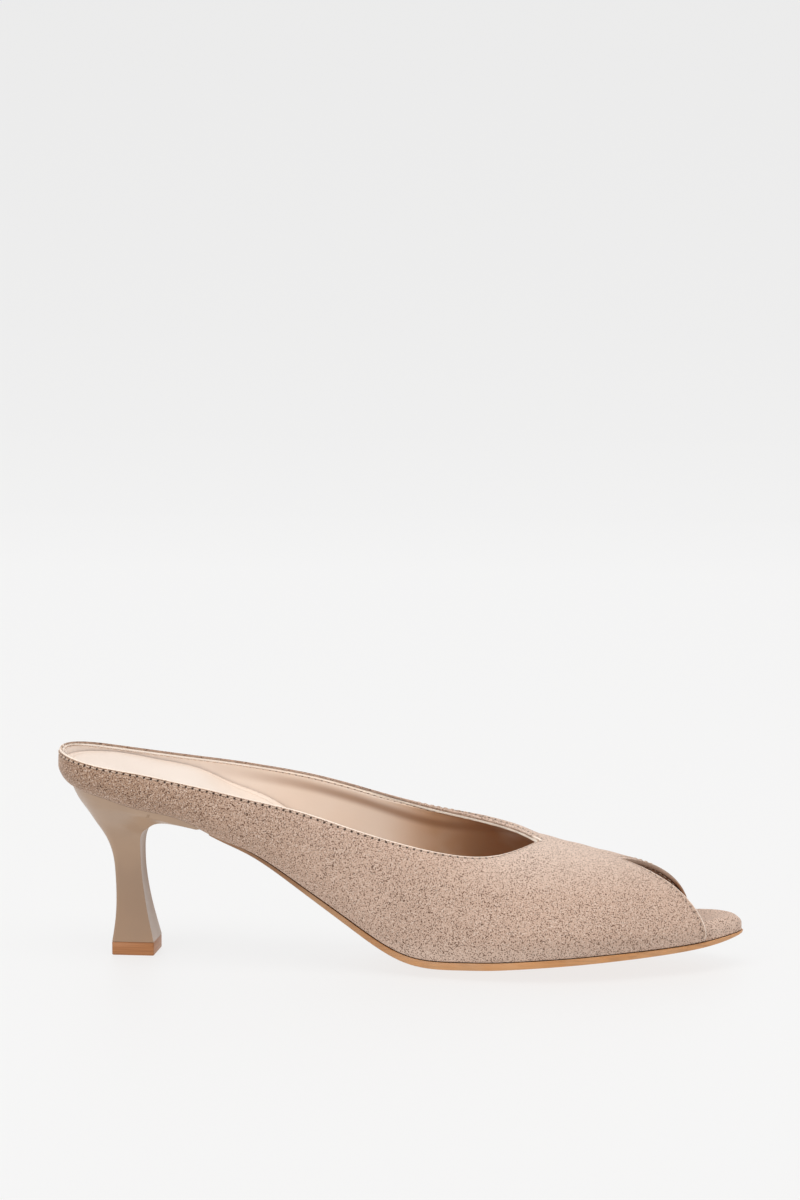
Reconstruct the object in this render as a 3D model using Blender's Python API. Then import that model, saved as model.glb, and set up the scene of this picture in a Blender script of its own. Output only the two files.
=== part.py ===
import math

import bmesh
import bpy
import numpy as np

for stray in list(bpy.data.objects):
    bpy.data.objects.remove(stray, do_unlink=True)
pieces = bpy.data.collections.new("heeled_mule")
bpy.context.scene.collection.children.link(pieces)

# Backless heeled mule, right shoe, in metres. While it is built, x runs from the back of
# the heel to the toe, minus y is the outer side and z is up from the floor.

LENGTH = 0.245
BALL_WIDTH = 0.076
SEAT_HEIGHT = 0.0614
RIM_HEIGHT = 0.0748
SEAT_BULGE = 0.0049
SEAT_ROLL = 0.0068
VAMP_DOME = 0.0022
WALL = 0.0016
CAMBER = 0.0039
FLAT_DEPTH = 0.0003
SOLE_THICK = 0.0023
SOLE_MARGIN = 0.0005
SOLE_BEVEL = 0.0005
PAD_THICK = 0.0076
ARCH_LIFT = 0.0036
SOCK_THICK = 0.0012
SOCK_ROUND = 0.0004
TOE_ROUND = 0.0016
TIP_HEIGHT = 0.0048
TIP_LENGTH = 0.0152
TIP_WIDTH = 0.0164
TIP_BACK = 0.0192
TIP_CHAMFER = 0.0005
LIP_REACH = 0.0538
LIP_THICK = 0.0005
CLEARANCE = 0.0003
INSIDE_CLEARANCE = 0.0005
SOCK_CLEARANCE = 0.0004

# Outline of the feather, where the upper meets the sole. Along is a share of LENGTH,
# lateral and medial of BALL_WIDTH, feather of SEAT_HEIGHT, camber of CAMBER.
OUTLINE_COLUMNS = ("along", "lateral", "medial", "feather", "camber")
OUTLINE_ROWS = (
    (0.016, 0.000, 0.000, 1.000, 0.00),
    (0.022, 0.096, 0.096, 0.998, 0.00),
    (0.041, 0.182, 0.182, 0.984, 0.00),
    (0.074, 0.243, 0.240, 0.957, 0.00),
    (0.127, 0.284, 0.275, 0.904, 0.00),
    (0.196, 0.300, 0.268, 0.845, 0.00),
    (0.236, 0.301, 0.255, 0.765, 0.00),
    (0.290, 0.303, 0.237, 0.680, 0.05),
    (0.360, 0.308, 0.222, 0.508, 0.25),
    (0.440, 0.338, 0.239, 0.296, 0.60),
    (0.520, 0.400, 0.305, 0.123, 0.92),
    (0.600, 0.463, 0.387, 0.102, 1.00),
    (0.645, 0.484, 0.425, 0.109, 1.00),
    (0.690, 0.492, 0.451, 0.122, 0.98),
    (0.760, 0.466, 0.455, 0.141, 0.92),
    (0.830, 0.389, 0.411, 0.157, 0.80),
    (0.890, 0.282, 0.329, 0.166, 0.62),
    (0.945, 0.170, 0.225, 0.183, 0.38),
    (0.976, 0.074, 0.145, 0.198, 0.18),
    (0.997, -0.053, 0.053, 0.210, 0.00),
)
THROAT = 13
SLIT_END = 17
MEDIAL_SLIT_END = 16.4
TOE = 19

# How far the upper stands out past the feather (share of SEAT_BULGE), how high its widest
# line lies (share of SEAT_ROLL), how round the wall is above and below that line and how
# much it domes on its way in (share of VAMP_DOME).
WALL_COLUMNS = ("bulge", "roll", "flank", "crown", "under", "dome")
LATERAL_WALL = (
    (1.00, 1.00, 2.0, 2.0, 1.3, 0.0),
    (0.98, 0.99, 2.0, 2.0, 1.3, 0.0),
    (0.95, 0.97, 2.0, 2.0, 1.3, 0.0),
    (0.89, 0.92, 2.0, 2.0, 1.4, 0.0),
    (0.85, 0.89, 2.0, 2.0, 1.4, 0.0),
    (0.85, 0.86, 2.0, 2.0, 1.4, 0.0),
    (0.83, 0.95, 2.0, 2.0, 1.4, 0.0),
    (0.81, 1.08, 2.0, 2.0, 1.4, 0.0),
    (0.78, 1.18, 2.0, 1.9, 1.3, 0.0),
    (0.67, 1.18, 2.0, 1.8, 1.3, 0.0),
    (0.52, 1.08, 2.0, 1.7, 1.2, 0.0),
    (0.41, 0.95, 2.0, 1.6, 1.2, 0.0),
    (0.38, 0.92, 2.0, 1.5, 1.2, 0.0),
    (0.35, 0.89, 2.0, 1.5, 1.2, 0.0),
    (0.33, 0.82, 2.0, 1.4, 1.2, 0.0),
    (0.31, 0.76, 2.1, 1.4, 1.2, 0.0),
    (0.30, 0.63, 2.1, 1.4, 1.2, -0.3),
    (0.26, 0.44, 2.2, 1.5, 1.2, -0.8),
)
MEDIAL_WALL = (
    (1.00, 1.00, 2.0, 2.0, 1.3, 0.0),
    (0.98, 0.99, 2.0, 2.0, 1.3, 0.0),
    (0.95, 0.97, 2.0, 2.0, 1.3, 0.0),
    (0.89, 0.92, 2.0, 2.0, 1.4, 0.0),
    (0.87, 0.92, 2.0, 2.0, 1.4, 0.0),
    (0.90, 1.00, 2.0, 2.0, 1.4, 0.0),
    (0.94, 1.15, 2.0, 2.0, 1.4, 0.0),
    (0.98, 1.40, 2.0, 2.0, 1.4, 0.0),
    (0.98, 1.55, 2.0, 2.0, 1.3, 0.0),
    (0.85, 1.50, 2.0, 1.9, 1.3, 0.1),
    (0.62, 1.30, 2.1, 1.8, 1.2, 0.6),
    (0.46, 1.05, 2.3, 1.7, 1.2, 1.1),
    (0.40, 0.98, 2.4, 1.7, 1.2, 1.0),
    (0.37, 0.92, 2.5, 1.7, 1.2, 0.7),
    (0.34, 0.84, 2.4, 1.6, 1.2, 0.3),
    (0.32, 0.76, 2.2, 1.5, 1.2, 0.0),
    (0.30, 0.63, 2.0, 1.7, 1.2, -0.2),
    (0.28, 0.50, 1.8, 2.2, 1.2, -0.6),
)

# The open rim, from the back of the heel to the row before the throat. Lean is the way in
# from the widest line (share of BALL_WIDTH), rim the height (share of RIM_HEIGHT).
RIM_COLUMNS = ("lateral_lean", "lateral_rim", "medial_lean", "medial_rim")
RIM_ROWS = (
    (0.010, 0.996, 0.010, 0.996),
    (0.014, 0.987, 0.014, 0.995),
    (0.026, 0.965, 0.026, 0.980),
    (0.032, 0.942, 0.030, 0.957),
    (0.037, 0.919, 0.033, 0.930),
    (0.040, 0.877, 0.034, 0.906),
    (0.042, 0.850, 0.034, 0.894),
    (0.045, 0.810, 0.034, 0.873),
    (0.056, 0.758, 0.042, 0.840),
    (0.078, 0.675, 0.058, 0.777),
    (0.122, 0.600, 0.112, 0.700),
    (0.212, 0.551, 0.222, 0.641),
    (0.350, 0.545, 0.342, 0.613),
)

# The ridge that both halves of the vamp share, from the throat to the head of the slit.
RIDGE_COLUMNS = ("along", "across", "up")
RIDGE_ROWS = (
    (0.703, 0.007, 0.584),
    (0.737, 0.026, 0.556),
    (0.773, 0.039, 0.532),
    (0.800, 0.043, 0.514),
    (0.820, 0.046, 0.497),
)

# Footbed and sole by row of the outline: pad of PAD_THICK, arch of ARCH_LIFT, sole of
# SOLE_THICK, margin of SOLE_MARGIN and bevel of SOLE_BEVEL.
BED_COLUMNS = ("pad", "arch", "sole", "margin", "bevel")
BED_ROWS = (
    (1.00, 0.00, 0.40, -6.0, 8.0),
    (1.00, 0.00, 0.40, -6.0, 8.0),
    (1.05, 0.00, 0.40, -6.0, 8.0),
    (1.14, 0.00, 0.40, -6.0, 8.0),
    (1.22, 0.00, 0.40, -6.0, 8.0),
    (1.22, 0.00, 0.40, -6.0, 8.0),
    (1.10, 0.40, 0.45, -6.0, 8.0),
    (0.87, 0.90, 0.60, -2.2, 5.0),
    (0.74, 1.00, 0.78, -0.2, 2.6),
    (0.70, 0.70, 1.00, 0.4, 2.0),
    (0.48, 0.25, 1.00, 1.0, 1.0),
    (0.42, 0.00, 1.00, 1.0, 1.0),
    (0.40, 0.00, 1.00, 1.0, 1.0),
    (0.41, 0.00, 0.98, 1.0, 1.0),
    (0.48, 0.00, 0.94, 1.0, 1.0),
    (0.62, 0.00, 0.90, 1.0, 1.0),
    (0.80, 0.00, 0.66, 1.0, 1.0),
    (0.93, 0.00, 0.42, 0.8, 0.9),
    (0.86, 0.00, 0.26, 0.2, 0.7),
    (0.66, 0.00, 0.20, 0.0, 0.6),
)

# The heel from its base to just under the seat. Back and front are shares of LIP_REACH,
# the heights of SEAT_HEIGHT, half of the seat's half width, corner of the half width.
HEEL_COLUMNS = ("back", "back_up", "front", "front_up", "half", "corner", "seat")
HEEL_ROWS = (
    (0.374, 0.195, 0.607, 0.195, 0.310, 0.10, 0.00),
    (0.379, 0.326, 0.576, 0.326, 0.255, 0.14, 0.00),
    (0.370, 0.472, 0.552, 0.472, 0.225, 0.24, 0.00),
    (0.351, 0.586, 0.544, 0.586, 0.228, 0.36, 0.02),
    (0.308, 0.684, 0.546, 0.668, 0.275, 0.46, 0.08),
    (0.245, 0.765, 0.570, 0.730, 0.390, 0.56, 0.22),
    (0.176, 0.845, 0.630, 0.774, 0.585, 0.72, 0.46),
    (0.122, 0.912, 0.735, 0.813, 0.795, 0.85, 0.78),
    (0.090, 0.966, 0.972, 0.792, 0.955, 0.95, 1.00),
)

COLUMN_PITCH = 0.0060
SHEET_PITCH = 0.0090
SHEET_ACROSS = 8
WIDEST_SHARE = 1.35
ROWS_UNDER = 4
ROWS_OVER = 8
SOCK_END = 14


def named(columns, rows):
    values = np.array(rows, dtype=float)
    return {name: values[:, place] for place, name in enumerate(columns)}


def spline(knots, values):
    """Cubic spline with smooth curvature through the given values."""
    knots = np.asarray(knots, dtype=float)
    values = np.asarray(values, dtype=float)
    count = len(knots)
    step = np.diff(knots)
    system = np.eye(count)
    right = np.zeros_like(values)
    for row in range(1, count - 1):
        system[row, row - 1] = step[row - 1]
        system[row, row] = 2 * (step[row - 1] + step[row])
        system[row, row + 1] = step[row]
        rise = (values[row + 1] - values[row]) / step[row]
        fall = (values[row] - values[row - 1]) / step[row - 1]
        right[row] = 6 * (rise - fall)
    bend = np.linalg.solve(system, right)

    def at(place):
        low = int(np.clip(np.searchsorted(knots, place) - 1, 0, count - 2))
        width = step[low]
        before = (knots[low + 1] - place) / width
        after = (place - knots[low]) / width
        curve = (before ** 3 - before) * bend[low] + (after ** 3 - after) * bend[low + 1]
        return before * values[low] + after * values[low + 1] + curve * width ** 2 / 6

    return at


def path(points):
    """Spline through points, asked for by a place counted in points."""
    points = np.asarray(points, dtype=float)
    steps = np.linalg.norm(np.diff(points, axis=0), axis=1)
    knots = np.concatenate([[0.0], np.cumsum(steps)])
    curve = spline(knots, points)
    numbers = np.arange(len(points))
    return lambda place: curve(np.interp(place, numbers, knots))


outline = named(OUTLINE_COLUMNS, OUTLINE_ROWS)
walls = {-1: named(WALL_COLUMNS, LATERAL_WALL), 1: named(WALL_COLUMNS, MEDIAL_WALL)}
rim = named(RIM_COLUMNS, RIM_ROWS)
ridge = named(RIDGE_COLUMNS, RIDGE_ROWS)
bed_table = named(BED_COLUMNS, BED_ROWS)
heel_table = named(HEEL_COLUMNS, HEEL_ROWS)

station_x = outline["along"] * LENGTH
feather = spline(station_x, outline["feather"] * SEAT_HEIGHT)
camber = spline(station_x, outline["camber"] * CAMBER)
pad_at = spline(station_x, bed_table["pad"] * PAD_THICK)
arch_at = spline(station_x, bed_table["arch"] * ARCH_LIFT)
sole_at = spline(station_x, bed_table["sole"] * SOLE_THICK)
margin_at = spline(station_x, bed_table["margin"] * SOLE_MARGIN)
bevel_at = spline(station_x, bed_table["bevel"] * SOLE_BEVEL)


def build_loop():
    """Plan of the feather, asked for by station, minus for the outer side."""
    lateral = [(x, -y * BALL_WIDTH) for x, y in zip(station_x, outline["lateral"])]
    medial = [(x, y * BALL_WIDTH) for x, y in zip(station_x, outline["medial"])]
    ring = lateral[:0:-1] + medial[:-1]
    wrap = 4
    points = ring[-wrap:] + ring + ring[:wrap]
    curve = path(points)
    return lambda station: curve(station + TOE + wrap)


loop = build_loop()


def side_line(side):
    """Edge of the feather on one side as y over x."""
    points = np.array([loop(side * place) for place in np.linspace(0, TOE, 300)])
    return lambda x: np.interp(x, points[:, 0], points[:, 1])


lateral_edge = side_line(-1)
medial_edge = side_line(1)


def share_across(x, y):
    """Place across the feather, from -1 at the outer side to 1 at the inner side."""
    low = lateral_edge(x)
    high = medial_edge(x)
    half = max((high - low) / 2, CLEARANCE)
    return float(np.clip((y - (low + high) / 2) / half, -WIDEST_SHARE, WIDEST_SHARE))


def bed(x, y):
    """Height of the last's underside."""
    share = share_across(x, y)
    return feather(x) - camber(x) * (1 - share * share)


def footbed(x, y):
    share = max(share_across(x, y), 0.0)
    return bed(x, y) + pad_at(x) + arch_at(x) * share * share


def inward(station):
    step = 0.02
    run = loop(station + step) - loop(station - step)
    run = run / np.linalg.norm(run)
    return np.array([run[1], -run[0]])


def side_value(name, station):
    side = -1 if station < 0 else 1
    column = walls[side][name]
    place = abs(station)
    low = min(int(place), len(column) - 2)
    part = place - low
    ease = part * part * (3 - 2 * part)
    return column[low] * (1 - ease) + column[low + 1] * ease


def widest(station):
    """Point of the upper's widest line at a station."""
    foot = loop(station)
    out = foot - inward(station) * side_value("bulge", station) * SEAT_BULGE
    up = feather(foot[0]) + side_value("roll", station) * SEAT_ROLL
    return np.array([out[0], out[1], up])


ridge_points = np.stack(
    [ridge["along"] * LENGTH, ridge["across"] * BALL_WIDTH, ridge["up"] * RIM_HEIGHT], axis=1
)


def build_rim():
    points = [ridge_points[0]]
    for station in range(1 - THROAT, THROAT):
        prefix = "lateral" if station < 0 else "medial"
        lean = rim[prefix + "_lean"][abs(station)] * BALL_WIDTH
        height = rim[prefix + "_rim"][abs(station)] * RIM_HEIGHT
        edge = widest(station)[:2] + inward(station) * lean
        points.append((edge[0], edge[1], height))
    points.append(ridge_points[0])
    curve = path(points)
    return lambda station: curve(station + THROAT)


rim_curve = build_rim()
ridge_curve = path(ridge_points)


def foot_station(station):
    """Where a column of the upper stands. The inner flap ends short of the outer one."""
    last = SLIT_END - 1
    if station <= last:
        return station
    return last + (station - last) * (MEDIAL_SLIT_END - last)


def top_edge(station):
    if abs(station) < THROAT:
        return rim_curve(station)
    return ridge_curve(abs(station) - THROAT)


def profile(column):
    """Outer face of the upper at a column, from the feather to its top edge."""
    station = foot_station(column)
    foot = loop(station)
    base = np.array([foot[0], foot[1], feather(foot[0])])
    wide = widest(station)
    top = top_edge(column)
    under = side_value("under", station)
    flank = side_value("flank", station)
    crown = side_value("crown", station)
    dome = side_value("dome", station) * VAMP_DOME
    points = []
    for row in range(ROWS_UNDER):
        turn = row / ROWS_UNDER * math.pi / 2
        out = math.sin(turn) ** under
        up = 1 - math.cos(turn) ** under
        plan = base[:2] + (wide[:2] - base[:2]) * out
        points.append((plan[0], plan[1], base[2] + (wide[2] - base[2]) * up))
    for row in range(ROWS_OVER + 1):
        turn = row / ROWS_OVER * math.pi / 2
        across = 1 - max(math.cos(turn), 0.0) ** (2 / flank)
        up = math.sin(turn) ** (2 / crown)
        plan = wide[:2] + (top[:2] - wide[:2]) * across
        swell = dome * 4 * across * (1 - across)
        points.append((plan[0], plan[1], wide[2] + (top[2] - wide[2]) * up + swell))
    return points


def station_steps(first, last, pitch):
    """Stations from first to last with about the given pitch along the outline."""
    places = [float(first)]
    for low in range(first, last):
        run = np.linalg.norm(loop(-low - 1) - loop(-low))
        count = max(2, math.ceil(run / pitch))
        places += [low + part / count for part in range(1, count + 1)]
    return places


def upper_grids():
    """Outer and inner faces of the upper, one row of points for each column."""
    places = station_steps(0, SLIT_END, COLUMN_PITCH)
    columns = [-place for place in reversed(places)] + places[1:]
    outer = np.array([profile(column) for column in columns])
    along = np.gradient(outer, axis=0)
    up = np.gradient(outer, axis=1)
    normal = np.cross(up, along)
    normal /= np.linalg.norm(normal, axis=2, keepdims=True)
    closed = [index for index, column in enumerate(columns) if column <= -THROAT]
    for index in closed:
        twin = len(columns) - 1 - index
        shared = normal[index, -1] + normal[twin, -1]
        shared /= np.linalg.norm(shared)
        normal[index, -1] = shared
        normal[twin, -1] = shared
    inner = outer - normal * WALL
    stations = [foot_station(column) for column in columns]
    return stations, outer, inner, len(closed)


upper_stations, upper_outer, upper_inner, closed_count = upper_grids()


def inner_column(station):
    column = np.interp(station, upper_stations, range(len(upper_stations)))
    low = min(int(column), len(upper_stations) - 2)
    part = column - low
    return upper_inner[low] * (1 - part) + upper_inner[low + 1] * part


def inner_plan(station, level):
    """Plan point of the upper's inner face at a height above the floor."""
    points = inner_column(station)
    x = np.interp(level, points[:, 2], points[:, 0])
    y = np.interp(level, points[:, 2], points[:, 1])
    return np.array([x, y])


def wall_plan(station, surface):
    """Plan point inside the upper's wall, just clear of it, at a surface's own height."""
    point = loop(station)
    for _ in range(3):
        point = inner_plan(station, surface(*point)) + inward(station) * INSIDE_CLEARANCE
    return point


class Shape:
    """Collects faces of one closed body and turns them into an object."""

    def __init__(self):
        self.points = []
        self.faces = []

    def add_grid(self, grid, flip=False):
        rows, columns = grid.shape[:2]
        start = len(self.points)
        self.points += [tuple(point) for point in grid.reshape(-1, 3)]
        for row in range(rows - 1):
            for column in range(columns - 1):
                corner = start + row * columns + column
                face = (corner, corner + 1, corner + columns + 1, corner + columns)
                self.faces.append(face[::-1] if flip else face)

    def add_ring(self, ring):
        start = len(self.points)
        self.points += [tuple(point) for point in ring]
        self.faces.append(tuple(range(start, start + len(ring))))

    def to_object(self, name, look, sharp_degrees):
        mesh = bpy.data.meshes.new(name)
        mesh.from_pydata(self.points, [], self.faces)
        body = bmesh.new()
        body.from_mesh(mesh)
        bmesh.ops.remove_doubles(body, verts=body.verts, dist=0.00001)
        bmesh.ops.recalc_face_normals(body, faces=body.faces)
        for face in body.faces:
            face.smooth = True
        for edge in body.edges:
            edge.smooth = edge.calc_face_angle(0.0) < math.radians(sharp_degrees)
        body.to_mesh(mesh)
        body.free()
        mesh.materials.append(look)
        item = bpy.data.objects.new(name, mesh)
        pieces.objects.link(item)
        return item


def make_look(name, colour, roughness, metallic=0.0):
    look = bpy.data.materials.new(name)
    look.use_nodes = True
    shader = look.node_tree.nodes["Principled BSDF"]
    shader.inputs["Base Color"].default_value = (*colour, 1.0)
    shader.inputs["Roughness"].default_value = roughness
    shader.inputs["Metallic"].default_value = metallic
    look.diffuse_color = (*colour, 1.0)
    return look


def edge_strip(outer_line, inner_line):
    return np.stack([outer_line, inner_line], axis=1)


def make_upper(look):
    outer = upper_outer
    inner = upper_inner
    shape = Shape()
    shape.add_grid(outer)
    shape.add_grid(inner, flip=True)
    shape.add_grid(edge_strip(outer[:, 0], inner[:, 0]))
    shape.add_grid(edge_strip(outer[0], inner[0]))
    shape.add_grid(edge_strip(outer[-1], inner[-1]))
    first = closed_count - 1
    last = len(outer) - closed_count + 1
    shape.add_grid(edge_strip(outer[first:last, -1], inner[first:last, -1]))
    return shape.to_object("upper", look, 50)


def sheet(lateral, medial, height, across=SHEET_ACROSS):
    """Grid of points between two plan chains with the height asked for at each."""
    rows = []
    for left, right in zip(lateral, medial):
        if np.linalg.norm(right - left) < CLEARANCE:
            right = left
        line = []
        for part in np.linspace(0, 1, across + 1):
            plan = left + (right - left) * part
            line.append((plan[0], plan[1], height(plan[0], plan[1])))
        rows.append(line)
    return np.array(rows)


def border(grid):
    """Points round the rim of a grid, in order."""
    first = grid[0]
    right = grid[1:, -1]
    last = grid[-1, -2::-1]
    left = grid[-2::-1, 0]
    return np.concatenate([first, right, last, left])


def stack(sheets, name, look, sharp_degrees=40, flat_base=False):
    """Closed body from sheets that lie over each other, the lowest first."""
    shape = Shape()
    if flat_base:
        shape.add_ring(border(sheets[0])[:-1])
    else:
        shape.add_grid(sheets[0], flip=True)
    shape.add_grid(sheets[-1])
    for low, high in zip(sheets, sheets[1:]):
        shape.add_grid(np.stack([border(low), border(high)], axis=0))
    return shape.to_object(name, look, sharp_degrees)


def station_at(x, side):
    places = np.linspace(1, TOE, 400)
    return float(np.interp(x, [loop(side * place)[0] for place in places], places))


def make_outsole(look):
    start = LIP_REACH + CLEARANCE
    steps = station_steps(0, TOE, SHEET_PITCH)
    places = [place for place in steps if loop(-place)[0] > start + SHEET_PITCH / 2]

    def side_chain(side, bevelled):
        first = station_at(start, side)
        chain = []
        for place in [first] + places:
            station = side * place
            x = loop(station)[0]
            inset = bevelled * bevel_at(x) - margin_at(x)
            chain.append(loop(station) + inward(station) * inset)
        chain[0][0] = start
        return chain

    def under(x, y):
        height = bed(x, y) - CLEARANCE - sole_at(x) - FLAT_DEPTH
        return max(height, 0.0)

    def over(x, y):
        return bed(x, y) - CLEARANCE

    def edge(x, y):
        return min(under(x, y) + SOLE_BEVEL, over(x, y) - SOLE_BEVEL)

    sheets = []
    for bevelled, height in ((1.0, under), (0.0, edge), (0.0, over)):
        sheets.append(sheet(side_chain(-1, bevelled), side_chain(1, bevelled), height))
    return stack(sheets, "outsole", look)


def in_upper(station):
    return upper_stations[0] <= station <= upper_stations[-1]


def insole_foot(station):
    """Plan point of the footbed's foot, just inside the lower edge of the upper."""
    start = inner_column(station)[0, :2] if in_upper(station) else loop(station)
    return start + inward(station) * INSIDE_CLEARANCE


def insole_plan(station, level, surface):
    """Plan point of the footbed's side. Level 0 to 1 runs from its foot to its top."""
    if in_upper(station):
        return wall_plan(station, surface)
    return loop(station) + inward(station) * (INSIDE_CLEARANCE + TOE_ROUND * level ** 3)


def make_insole(look):
    places = sorted(station_steps(0, TOE, SHEET_PITCH) + [MEDIAL_SLIT_END])
    low = [[insole_foot(side * place) for place in places] for side in (-1, 1)]
    rise = WALL + CLEARANCE
    sheets = [sheet(*low, bed), sheet(*low, lambda x, y: bed(x, y) + rise)]
    for level in (0.4, 0.8, 1.0):

        def height(x, y, level=level):
            top = footbed(x, y) - bed(x, y)
            return bed(x, y) + rise + (top - rise) * level

        lateral = [insole_plan(-place, level, height) for place in places]
        medial = [insole_plan(place, level, height) for place in places]
        sheets.append(sheet(lateral, medial, height))
    return stack(sheets, "insole", look, 60)


def make_sock(look):
    places = station_steps(0, SOCK_END, SHEET_PITCH)

    def under(x, y):
        return footbed(x, y) + SOCK_CLEARANCE

    def edge(x, y):
        return under(x, y) + SOCK_THICK * 0.6

    def over(x, y):
        return under(x, y) + SOCK_THICK

    def side_chain(side, extra):
        stations = [side * place for place in places]
        return [wall_plan(station, over) + inward(station) * extra for station in stations]

    sheets = []
    for extra, height in ((0.0, under), (0.0, edge), (SOCK_ROUND, over)):
        sheets.append(sheet(side_chain(-1, extra), side_chain(1, extra), height))
    return stack(sheets, "sock_lining", look)


def rounded_side(part, corner, back, front, half):
    """Half of a rounded rectangle, part 0 at its front corner and 1 at its back centre."""
    radius = min(corner * half, (front - back) * 0.8)
    if part <= 0.5:
        return np.array([front + (back + radius - front) * part / 0.5, half])
    if part <= 0.75:
        turn = (part - 0.5) / 0.25 * math.pi / 2
        x = back + radius * (1 - math.sin(turn))
        return np.array([x, half - radius * (1 - math.cos(turn))])
    return np.array([back, (half - radius) * (1 - (part - 0.75) / 0.25)])


def seat_side(part, side):
    """Edge of the heel seat with the same parts as the rounded rectangle."""
    lip = station_at(LIP_REACH, side)
    place = float(np.interp(part, [0.0, 0.5, 0.75, 1.0], [lip, 4.0, 2.0, 0.0]))
    station = side * place
    point = loop(station) + inward(station) * CLEARANCE
    if part == 0.0:
        point[0] = LIP_REACH
    return point


def make_heel(look):
    parts = np.concatenate(
        [np.linspace(0, 0.5, 7)[:-1], np.linspace(0.5, 0.75, 5)[:-1], np.linspace(0.75, 1, 4)]
    )
    rows = np.arange(len(HEEL_ROWS) + 1)
    seat = {side: np.array([seat_side(part, side) for part in parts]) for side in (-1, 1)}
    seat_half = abs(seat[-1][:, 1]).max()
    seat_back = seat[-1][-1, 0]
    base = {
        "back": TIP_BACK / LIP_REACH,
        "back_up": (TIP_HEIGHT + CLEARANCE) / SEAT_HEIGHT,
        "front": (TIP_BACK + TIP_LENGTH) / LIP_REACH,
        "front_up": (TIP_HEIGHT + CLEARANCE) / SEAT_HEIGHT,
        "half": TIP_WIDTH / 2 / seat_half,
        "corner": 0.08,
        "seat": 0.0,
    }
    curves = {
        name: spline(rows, np.concatenate([[base[name]], heel_table[name]])) for name in base
    }

    def ring(place):
        row = {name: float(curve(place)) for name, curve in curves.items()}
        back = row["back"] * LIP_REACH
        front = row["front"] * LIP_REACH
        half = row["half"] * seat_half
        line = {}
        for side in (-1, 1):
            points = []
            for part, rest in zip(parts, seat[side]):
                block = rounded_side(part, row["corner"], back, front, half)
                share = (rest[0] - seat_back) / (LIP_REACH - seat_back)
                cup_x = back + share * (front - back)
                cup_y = abs(rest[1]) * row["half"]
                x = block[0] + (cup_x - block[0]) * row["seat"]
                y = block[1] + (cup_y - block[1]) * row["seat"]
                slope = (x - back) / (front - back)
                height = row["back_up"] + (row["front_up"] - row["back_up"]) * slope
                under_seat = feather(x) - CLEARANCE - LIP_THICK * (1 + len(HEEL_ROWS) - place)
                points.append((x, side * y, min(height * SEAT_HEIGHT, under_seat)))
            line[side] = np.array(points)
        return line

    rings = [ring(place) for place in np.linspace(0, len(HEEL_ROWS), 19)]
    top = {}
    for side in (-1, 1):
        heights = [feather(point[0]) - CLEARANCE for point in seat[side]]
        top[side] = np.column_stack([seat[side], heights])
    rings.append(top)
    sheets = []
    for line in rings:
        across = np.linspace(0, 1, 5)[:, None]
        grid = [left * (1 - across) + right * across for left, right in zip(line[-1], line[1])]
        sheets.append(np.array(grid))
    return stack(sheets, "heel", look, 35, flat_base=True)


def make_heel_tip(look):
    half = TIP_WIDTH / 2
    front = TIP_BACK + TIP_LENGTH
    cut = TIP_CHAMFER
    lateral = [
        np.array([TIP_BACK, cut - half]),
        np.array([TIP_BACK + cut, -half]),
        np.array([front - cut, -half]),
        np.array([front, cut - half]),
    ]
    medial = [point * np.array([1, -1]) for point in lateral]
    sheets = [sheet(lateral, medial, lambda x, y, up=up: up, 2) for up in (0, TIP_HEIGHT)]
    return stack(sheets, "heel_tip", look)


def centre_on_floor(items):
    """Hangs every piece on an empty that puts the whole's base centre on the origin."""
    corners = [vertex.co for item in items for vertex in item.data.vertices]
    low = [min(corner[axis] for corner in corners) for axis in range(3)]
    high = [max(corner[axis] for corner in corners) for axis in range(3)]
    base = bpy.data.objects.new("shoe_base", None)
    base.location = (-(low[0] + high[0]) / 2, -(low[1] + high[1]) / 2, -low[2])
    pieces.objects.link(base)
    for item in items:
        item.parent = base
    print("base placed at", [round(value, 5) for value in base.location])


suede = make_look("taupe_suede", (0.47, 0.33, 0.26), 0.9)
sock_leather = make_look("cream_sock_leather", (0.83, 0.73, 0.64), 0.5)
board = make_look("suede_covered_board", (0.5, 0.36, 0.28), 0.9)
sole_leather = make_look("tan_sole_leather", (0.48, 0.29, 0.17), 0.55)
lacquer = make_look("taupe_lacquer", (0.36, 0.24, 0.17), 0.35)
rubber = make_look("caramel_rubber", (0.41, 0.18, 0.075), 0.6)

centre_on_floor(
    [
        make_upper(suede),
        make_sock(sock_leather),
        make_insole(board),
        make_outsole(sole_leather),
        make_heel(lacquer),
        make_heel_tip(rubber),
    ]
)
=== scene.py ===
import math

import bmesh
import bpy
import numpy as np
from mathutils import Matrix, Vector


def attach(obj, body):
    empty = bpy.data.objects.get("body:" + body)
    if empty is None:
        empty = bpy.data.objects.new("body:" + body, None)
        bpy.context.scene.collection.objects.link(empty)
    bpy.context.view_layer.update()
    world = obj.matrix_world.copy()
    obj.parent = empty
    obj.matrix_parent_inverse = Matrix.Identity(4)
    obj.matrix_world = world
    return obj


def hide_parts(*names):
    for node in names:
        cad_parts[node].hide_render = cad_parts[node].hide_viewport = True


# Suede mule on a flared heel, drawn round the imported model. The shape is worked out as a
# last maker does it: x runs from the back of the heel to the toe, minus y is the outer
# side, z is up from the floor, all in metres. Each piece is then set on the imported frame.
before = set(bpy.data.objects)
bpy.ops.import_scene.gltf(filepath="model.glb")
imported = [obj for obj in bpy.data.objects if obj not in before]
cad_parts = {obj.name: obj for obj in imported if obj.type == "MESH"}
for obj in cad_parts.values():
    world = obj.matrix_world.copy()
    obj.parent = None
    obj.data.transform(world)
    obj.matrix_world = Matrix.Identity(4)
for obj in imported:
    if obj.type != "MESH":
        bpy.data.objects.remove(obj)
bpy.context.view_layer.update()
mm = 0.001
hairline = 0.3 * mm  # narrower than this, two sides count as one
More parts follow.
